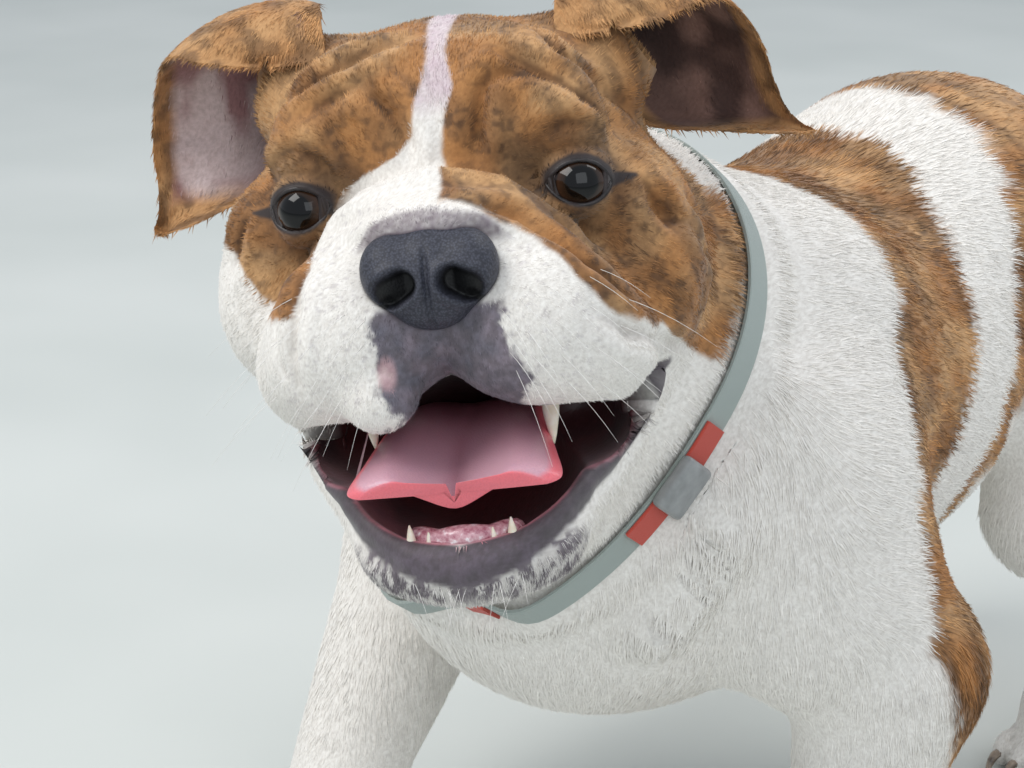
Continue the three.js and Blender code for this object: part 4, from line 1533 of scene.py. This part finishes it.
class BULLDOG_OT_nose(bpy.types.Operator):
    """Makes the leather of the nose with its nostrils"""

    bl_idname = "bulldog.nose"
    bl_label = "Nose"

    def execute(self, context):
        def hole(x, z):
            """How far places on the nose's front are outside its nostrils and outside their slits."""
            flat = np.column_stack((np.abs(x), np.zeros(len(x)), z))
            open_part = chain((9.5, 0, -29, 4.4), (14.5, 0, -31.5, 4.8))(flat)
            slit = chain((15, 0, -35, 1.8), (19, 0, -37, 1.3), (22, 0, -37, 0.9))(flat)
            return open_part, slit

        bm = bmesh.new()
        bmesh.ops.create_icosphere(bm, subdivisions=6, radius=1)
        middle = np.array((0, -103, -27))

        def onto(points):
            ways = unit(points)
            r = np.zeros(len(ways))
            for _ in range(40):
                r = r - LEATHER(middle + ways * r[:, None]) * 0.7
            at = middle + ways * r[:, None]
            front = step(0, 4, -108 - at[:, 1])
            off, slit = hole(at[:, 0], at[:, 2])
            deepest = np.interp(np.abs(at[:, 0]), (9, 13, 18), (8.5, 6.0, 3.0))
            depth = deepest * step(0, 2.6, 0.6 - off) + 1.4 * step(0, 1.6, 0.4 - slit)
            lobe = 1.5 * np.exp(-(((off - 2.8) / 2.0) ** 2))
            split = 1.7 * np.exp(-((at[:, 0] / 1.1) ** 2)) * step(0, 8, -18 - at[:, 2])
            at[:, 1] += front * (depth - lobe + split)
            return at

        moved(bm, onto)
        moved(bm, from_head)
        smoothed(bm, 0.4)
        piece = new_piece("nose_leather", bm, paint_of("nose", nose_paint))
        h = in_head(to_body(mesh_points(piece.data)))
        off, slit = hole(h[:, 0], h[:, 2])
        # Painted shade: the nostril holes and the slits beside them are painted near black
        near = np.minimum(off, slit + 0.6)
        dark = step(0, 2.2, 0.6 - near) * step(-104, 3, -h[:, 1] - 208)
        dark = np.maximum(dark, step(0, 2.2, 0.2 - near) * (h[:, 1] < -98))
        colour_attribute(piece.data, "markings", mix(np.ones((len(h), 3)), np.full(3, 0.04), dark))
        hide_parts("nose")
        return {"FINISHED"}


TOOTH_TAPER = (1, 0.95, 0.85, 0.65, 0.42, 0.12)


class BULLDOG_OT_mouth(bpy.types.Operator):
    """Makes the tongue and the teeth that show"""

    bl_idname = "bulldog.mouth"
    bl_label = "Mouth"

    def execute(self, context):
        ribs = [
            dict(at=(0, 14, -100), side=(1, 0, 0), face=(0, 0, 1), size=(20, -2, 10)),
            dict(at=(0, -14, -88), side=(1, 0, 0), face=(0, -0.2, 1), size=(27, -4, 13)),
            dict(at=(0, -50, -88), side=(1, 0, 0), face=(0, -0.2, 1), size=(31, -6, 12)),
            dict(at=(0, -80, -95), side=(1, 0, 0), face=(0, -0.3, 1), size=(37, -11, 9)),
            dict(at=(0, -102, -100), side=(1, 0, 0), face=(0, -0.3, 1), size=(40, -14, 6.5)),
            dict(at=(0, -108, -103), side=(1, 0, 0), face=(0, -0.5, 1), size=(33, -12, 5)),
        ]
        bm = leaf(ribs, 96, 72, lobes)
        moved(bm, from_head)
        piece = new_piece("tongue_flesh", bm, paint_of("tongue", tongue_paint))
        along, across, upper = leaf_numbers(piece.data)
        # Painted shade: the tongue darkens towards the back of the mouth and along its middle groove
        back = step(0, 0.5, 0.55 - along)
        groove = np.exp(-((across / 0.09) ** 2))
        tone = mix(mix(light(206, 158, 172), light(120, 70, 84), back), light(150, 98, 112), groove * 0.7)
        tip = step(0.93, 0.05, along + 0.02 * (cloud(to_body(mesh_points(piece.data)), 5, 41) - 0.5))
        edge = np.maximum(tip, step(0.9, 0.08, np.abs(across)))
        tone = mix(tone, light(232, 112, 122), np.maximum(edge, step(0, 0.2, -upper)))
        colour_attribute(piece.data, "markings", tone)
        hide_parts("tongue")
        teeth = [((19 * s, -93, -130), (19 * s, -95, -119), 2.4) for s in (LEFT, RIGHT)]
        teeth += [((35, -64, -79), (35, -66, -97), 3.6), ((-35, -60, -79), (-34, -61, -94), 3.2)]
        for k in (-2.5, -1.5, -0.5, 0.5, 1.5, 2.5):
            teeth.append(((k * 4.8, -94, -131), (k * 4.8, -96, -122), 2.0))
        bm = bmesh.new()
        for root, tip, radius in teeth:
            root, tip = from_head([root, tip])
            path = [root + (tip - root) * t for t in np.linspace(0, 1, 6)]
            add_to(bm, rounded_tube(path, [radius * k for k in TOOTH_TAPER], 10))
        new_piece("teeth", bm, paint_of("teeth", tooth_paint))
        turns = np.linspace(-1.5, 1.5, 24)
        arc = [(19 * math.sin(t), -78 - 18 * math.cos(t), -126 + 1.5 * math.cos(t)) for t in turns]
        bm = rounded_tube(from_head(arc), 3.2 + 1.2 * np.abs(np.sin(np.linspace(0, 9, 24))), 12)
        new_piece("gum", bm, paint_of("gum", gum_paint))
        return {"FINISHED"}


CLAW_CURVE = ((0, 0, 0), (0, -4, 0.2), (0, -8, -2), (0, -11.5, -6), (0, -13.5, -10))
CLAW_RADII = (3.0, 2.9, 2.5, 1.7, 0.5)


class BULLDOG_OT_claws(bpy.types.Operator):
    """Makes the claws of all four paws"""

    bl_idname = "bulldog.claws"
    bl_label = "Claws"

    def execute(self, context):
        for name, (x, y, size) in PAWS.items():
            bm = bmesh.new()
            for k in (-1.5, -0.5, 0.5, 1.5):
                root = np.array((k * 14.5, -27 + abs(k) * 5, 13.5))
                path = (root + np.array(CLAW_CURVE)) * size + (x, y, -2)
                add_to(bm, rounded_tube(path, [k * size for k in CLAW_RADII], 8))
            new_piece("claws_" + name, bm, paint_of("claws", claw_paint))
        return {"FINISHED"}


class BULLDOG_OT_whiskers(bpy.types.Operator):
    """Makes the whiskers of the muzzle and the chin"""

    bl_idname = "bulldog.whiskers"
    bl_label = "Whiskers"

    def execute(self, context):
        rng = np.random.default_rng(WHISKER_SEED)
        longest = sizes().whisker_length * 1000
        roots, ways, lengths = [], [], []
        for side in (LEFT, RIGHT):
            for row in range(4):
                for column in range(5):
                    across = side * (24 + column * 7.5 + row)
                    roots.append((across, -112 + column * 7, -40 - row * 9 + column))
                    ways.append((side * (0.55 + 0.14 * column), -0.75 + 0.2 * column, -0.5 - 0.12 * row))
                    lengths.append(longest * rng.uniform(0.4, 0.85))
        for _ in range(12):
            roots.append((rng.uniform(-26, 26), -98, -142))
            ways.append((rng.uniform(-0.4, 0.4), -0.7, -0.7))
            lengths.append(longest * rng.uniform(0.2, 0.45))
        roots = settle(from_head(roots), lambda p: skin_form(p, 1.5), 25, 4)
        bm = bmesh.new()
        for root, way, length in zip(roots, ways, lengths):
            way = unit(unit(way) + rng.normal(0, 0.08, 3)) @ HEAD_ROWS.T
            droop = np.array((0, 0, -1))
            path = [root + way * length * t + droop * length * 0.22 * t * t for t in np.linspace(0, 1, 6)]
            add_to(bm, rounded_tube(path, np.linspace(0.12, 0.04, 6), 4))
        new_piece("whiskers", bm, paint_of("whiskers", whisker_paint))
        return {"FINISHED"}


WEAVE = 1.5


def collar_ring(count):
    """Points on the skin round the neck under the collar's middle line, and the ways out of it."""
    across, up = COLLAR_ROWS[:, 0], COLLAR_ROWS[:, 1]
    angles = np.linspace(0, 2 * math.pi, count, endpoint=False)
    ways = np.cos(angles)[:, None] * across + np.sin(angles)[:, None] * up
    middle = np.array(COLLAR_MIDDLE, float)
    r = np.full(count, 150.0)
    for _ in range(60):
        d = body_form(middle + ways * r[:, None])
        r = r - np.clip(d, -6, 6) * 0.6
    for _ in range(3):
        r = (np.roll(r, 1) + 2 * r + np.roll(r, -1)) / 4
    return middle + ways * r[:, None], ways, np.cross(across, up)


class BULLDOG_OT_collar(bpy.types.Operator):
    """Makes the woven strap of the collar, its coral end and its clasp"""

    bl_idname = "bulldog.collar"
    bl_label = "Collar"

    def execute(self, context):
        count = 144
        ring, ways, along = collar_ring(count)
        half = COLLAR_WIDTH / 2

        def strap(first, last, lift, thick, wide, closed, name, material):
            picks = [i % count for i in range(first, last)]

            def shape(i):
                k = picks[i]
                low, high = ring[k] + ways[k] * lift, ring[k] + ways[k] * (lift + thick)
                side = along * wide
                ease = along * (wide - 0.5)
                edge = ways[k] * 0.4
                corners = (
                    low - ease, low + ease, low + side + edge, high + side - edge,
                    high + ease, high - ease, high - side - edge, low - side + edge,
                )
                return [Vector(v) for v in corners]

            bm = sweep(picks, shape, closed)
            piece = new_piece(name, bm, material, smooth=False)
            mesh = piece.data
            layer = mesh.uv_layers.new(name="Weave")
            q = to_body(mesh_points(mesh)) - np.array(COLLAR_MIDDLE)
            angle = np.arctan2(q @ COLLAR_ROWS[:, 1], q[:, 0])
            uv = np.column_stack((angle * 100, q @ along)) / WEAVE
            for loop in mesh.loops:
                layer.uv[loop.index].vector = uv[loop.vertex_index]
            return piece

        sage = tuple(colours().strap)
        coral = tuple(colours().web)
        # Darker copies of the sage and the coral are the painted shade in the hollows of the weave
        sage_shade = tuple(c * 0.55 for c in sage)
        sage_paint = paint_of("sage", strap_paint, "sage_webbing", sage_shade, sage)
        main = strap(0, count, 0.6, 2.0, half, True, "collar_strap", sage_paint)
        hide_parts("collar")
        centre = int(round(CLASP_ANGLE / 360 * count)) % count
        coral_paint = paint_of("coral", strap_paint, "coral_webbing", tuple(c * 0.6 for c in coral), coral)
        for k, (a, b) in enumerate(((centre - 7, centre + 8), (centre - 26, centre - 22))):
            name = "collar_coral_" + str(k)
            end = strap(a + count, b + count, 2.7, 1.6, half - 0.8, False, name, coral_paint)
        k = centre
        bm = bmesh.new()
        bmesh.ops.create_cube(bm, size=1)
        bmesh.ops.scale(bm, vec=(25, COLLAR_WIDTH + 4, 6.5), verts=bm.verts)
        bmesh.ops.bevel(
            bm, geom=bm.edges[:], offset=2.6, affect="EDGES", segments=4, profile=0.5, material=-1,
        )
        tangent = unit(ring[(k + 1) % count] - ring[k - 1])
        frame_rows = np.array((tangent, along, unit(np.cross(tangent, along))))
        if frame_rows[2] @ ways[k] < 0:
            frame_rows[2] *= -1
        moved(bm, lambda p: p @ frame_rows + ring[k] + ways[k] * 6)
        bmesh.ops.recalc_face_normals(bm, faces=bm.faces)
        grey = tuple(colours().clasp)
        grey_paint = paint_of("clasp", plastic_paint, "grey_clasp", tuple(c * 0.7 for c in grey), grey)
        clasp = new_piece("clasp_block", bm, grey_paint)
        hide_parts("collar_clasp")
        return {"FINISHED"}


class BULLDOG_OT_stage(bpy.types.Operator):
    """Makes the pale floor, the soft lights and the camera"""

    bl_idname = "bulldog.stage"
    bl_label = "Stage"

    def execute(self, context):
        scene = context.scene
        bm = bmesh.new()
        bmesh.ops.create_grid(bm, x_segments=1, y_segments=1, size=9)
        mesh = bpy.data.meshes.new("floor")
        bm.to_mesh(mesh)
        bm.free()
        floor = bpy.data.objects.new("floor", mesh)
        scene.collection.objects.link(floor)
        paint = Paint("pale_floor")
        tone = paint.ramp(paint.noise(3), (0.3, light(196, 200, 196)), (0.7, light(206, 209, 205)))
        paint.set(Base_Color=tone, Roughness=0.9)
        mesh.materials.append(paint.material)
        world = bpy.data.worlds.new("soft_sky")
        world.use_nodes = True
        world.node_tree.nodes["Background"].inputs[0].default_value = (0.86, 0.92, 1.0, 1)
        world.node_tree.nodes["Background"].inputs[1].default_value = 0.7
        scene.world = world
        eyes = Vector(EYES_MIDDLE / 1000)
        lamps = (
            ("key", (-0.9, -1.5, 2.0), 1.5, 46, (1, 0.98, 0.95)),
            ("fill", (1.9, -1.1, 1.2), 1.6, 14, (0.92, 0.96, 1)),
            ("rim", (0.4, 1.8, 1.9), 1.4, 24, (1, 1, 1)),
        )
        for name, offset, size, power, tint in lamps:
            lamp = bpy.data.objects.new(name, bpy.data.lights.new(name, "AREA"))
            lamp.data.size, lamp.data.energy, lamp.data.color = size, power, tint
            lamp.location = eyes + Vector(offset)
            lamp.rotation_euler = Vector(offset).to_track_quat("Z", "Y").to_euler()
            scene.collection.objects.link(lamp)
        camera = bpy.data.objects.new("camera", bpy.data.cameras.new("camera"))
        turn, height, far = math.radians(HEAD_TURN + 7.5), math.radians(14), 0.93
        camera.data.lens, camera.data.sensor_width = 85, 36
        camera.location = eyes + far * Vector(
            (math.sin(turn) * math.cos(height), -math.cos(turn) * math.cos(height), math.sin(height))
        )
        camera.rotation_euler = (math.radians(71.548), 0, math.radians(41.284))
        camera.data.clip_start = 0.05
        scene.collection.objects.link(camera)
        scene.camera = camera
        scene.view_settings.view_transform = "Standard"
        return {"FINISHED"}


STEPS = [
    BULLDOG_OT_skin, BULLDOG_OT_ears, BULLDOG_OT_coat, BULLDOG_OT_eyes, BULLDOG_OT_nose, BULLDOG_OT_mouth,
    BULLDOG_OT_claws, BULLDOG_OT_whiskers, BULLDOG_OT_collar, BULLDOG_OT_stage,
]


class BULLDOG_PT_panel(bpy.types.Panel):
    """Lists the dog's sizes, its colours and the steps that build it"""

    bl_idname = "BULLDOG_PT_panel"
    bl_label = "Bulldog"
    bl_space_type = "VIEW_3D"
    bl_region_type = "UI"
    bl_category = "Bulldog"

    def draw(self, context):
        for group in (context.scene.bulldog_sizes, context.scene.bulldog_colours):
            for key in group.__annotations__:
                self.layout.prop(group, key)
        for one in STEPS:
            self.layout.operator(one.bl_idname)


CLASSES = [BulldogSizes, BulldogColours, *STEPS, BULLDOG_PT_panel]


def register():
    for one in CLASSES:
        bpy.utils.register_class(one)
    bpy.types.Scene.bulldog_sizes = PointerProperty(type=BulldogSizes)
    bpy.types.Scene.bulldog_colours = PointerProperty(type=BulldogColours)


def unregister():
    del bpy.types.Scene.bulldog_colours
    del bpy.types.Scene.bulldog_sizes
    for one in reversed(CLASSES):
        bpy.utils.unregister_class(one)


def main():
    register()
    for one in STEPS:
        family, name = one.bl_idname.split(".")
        getattr(getattr(bpy.ops, family), name)()
    bpy.context.view_layer.update()


if __name__ == "__main__":
    main()
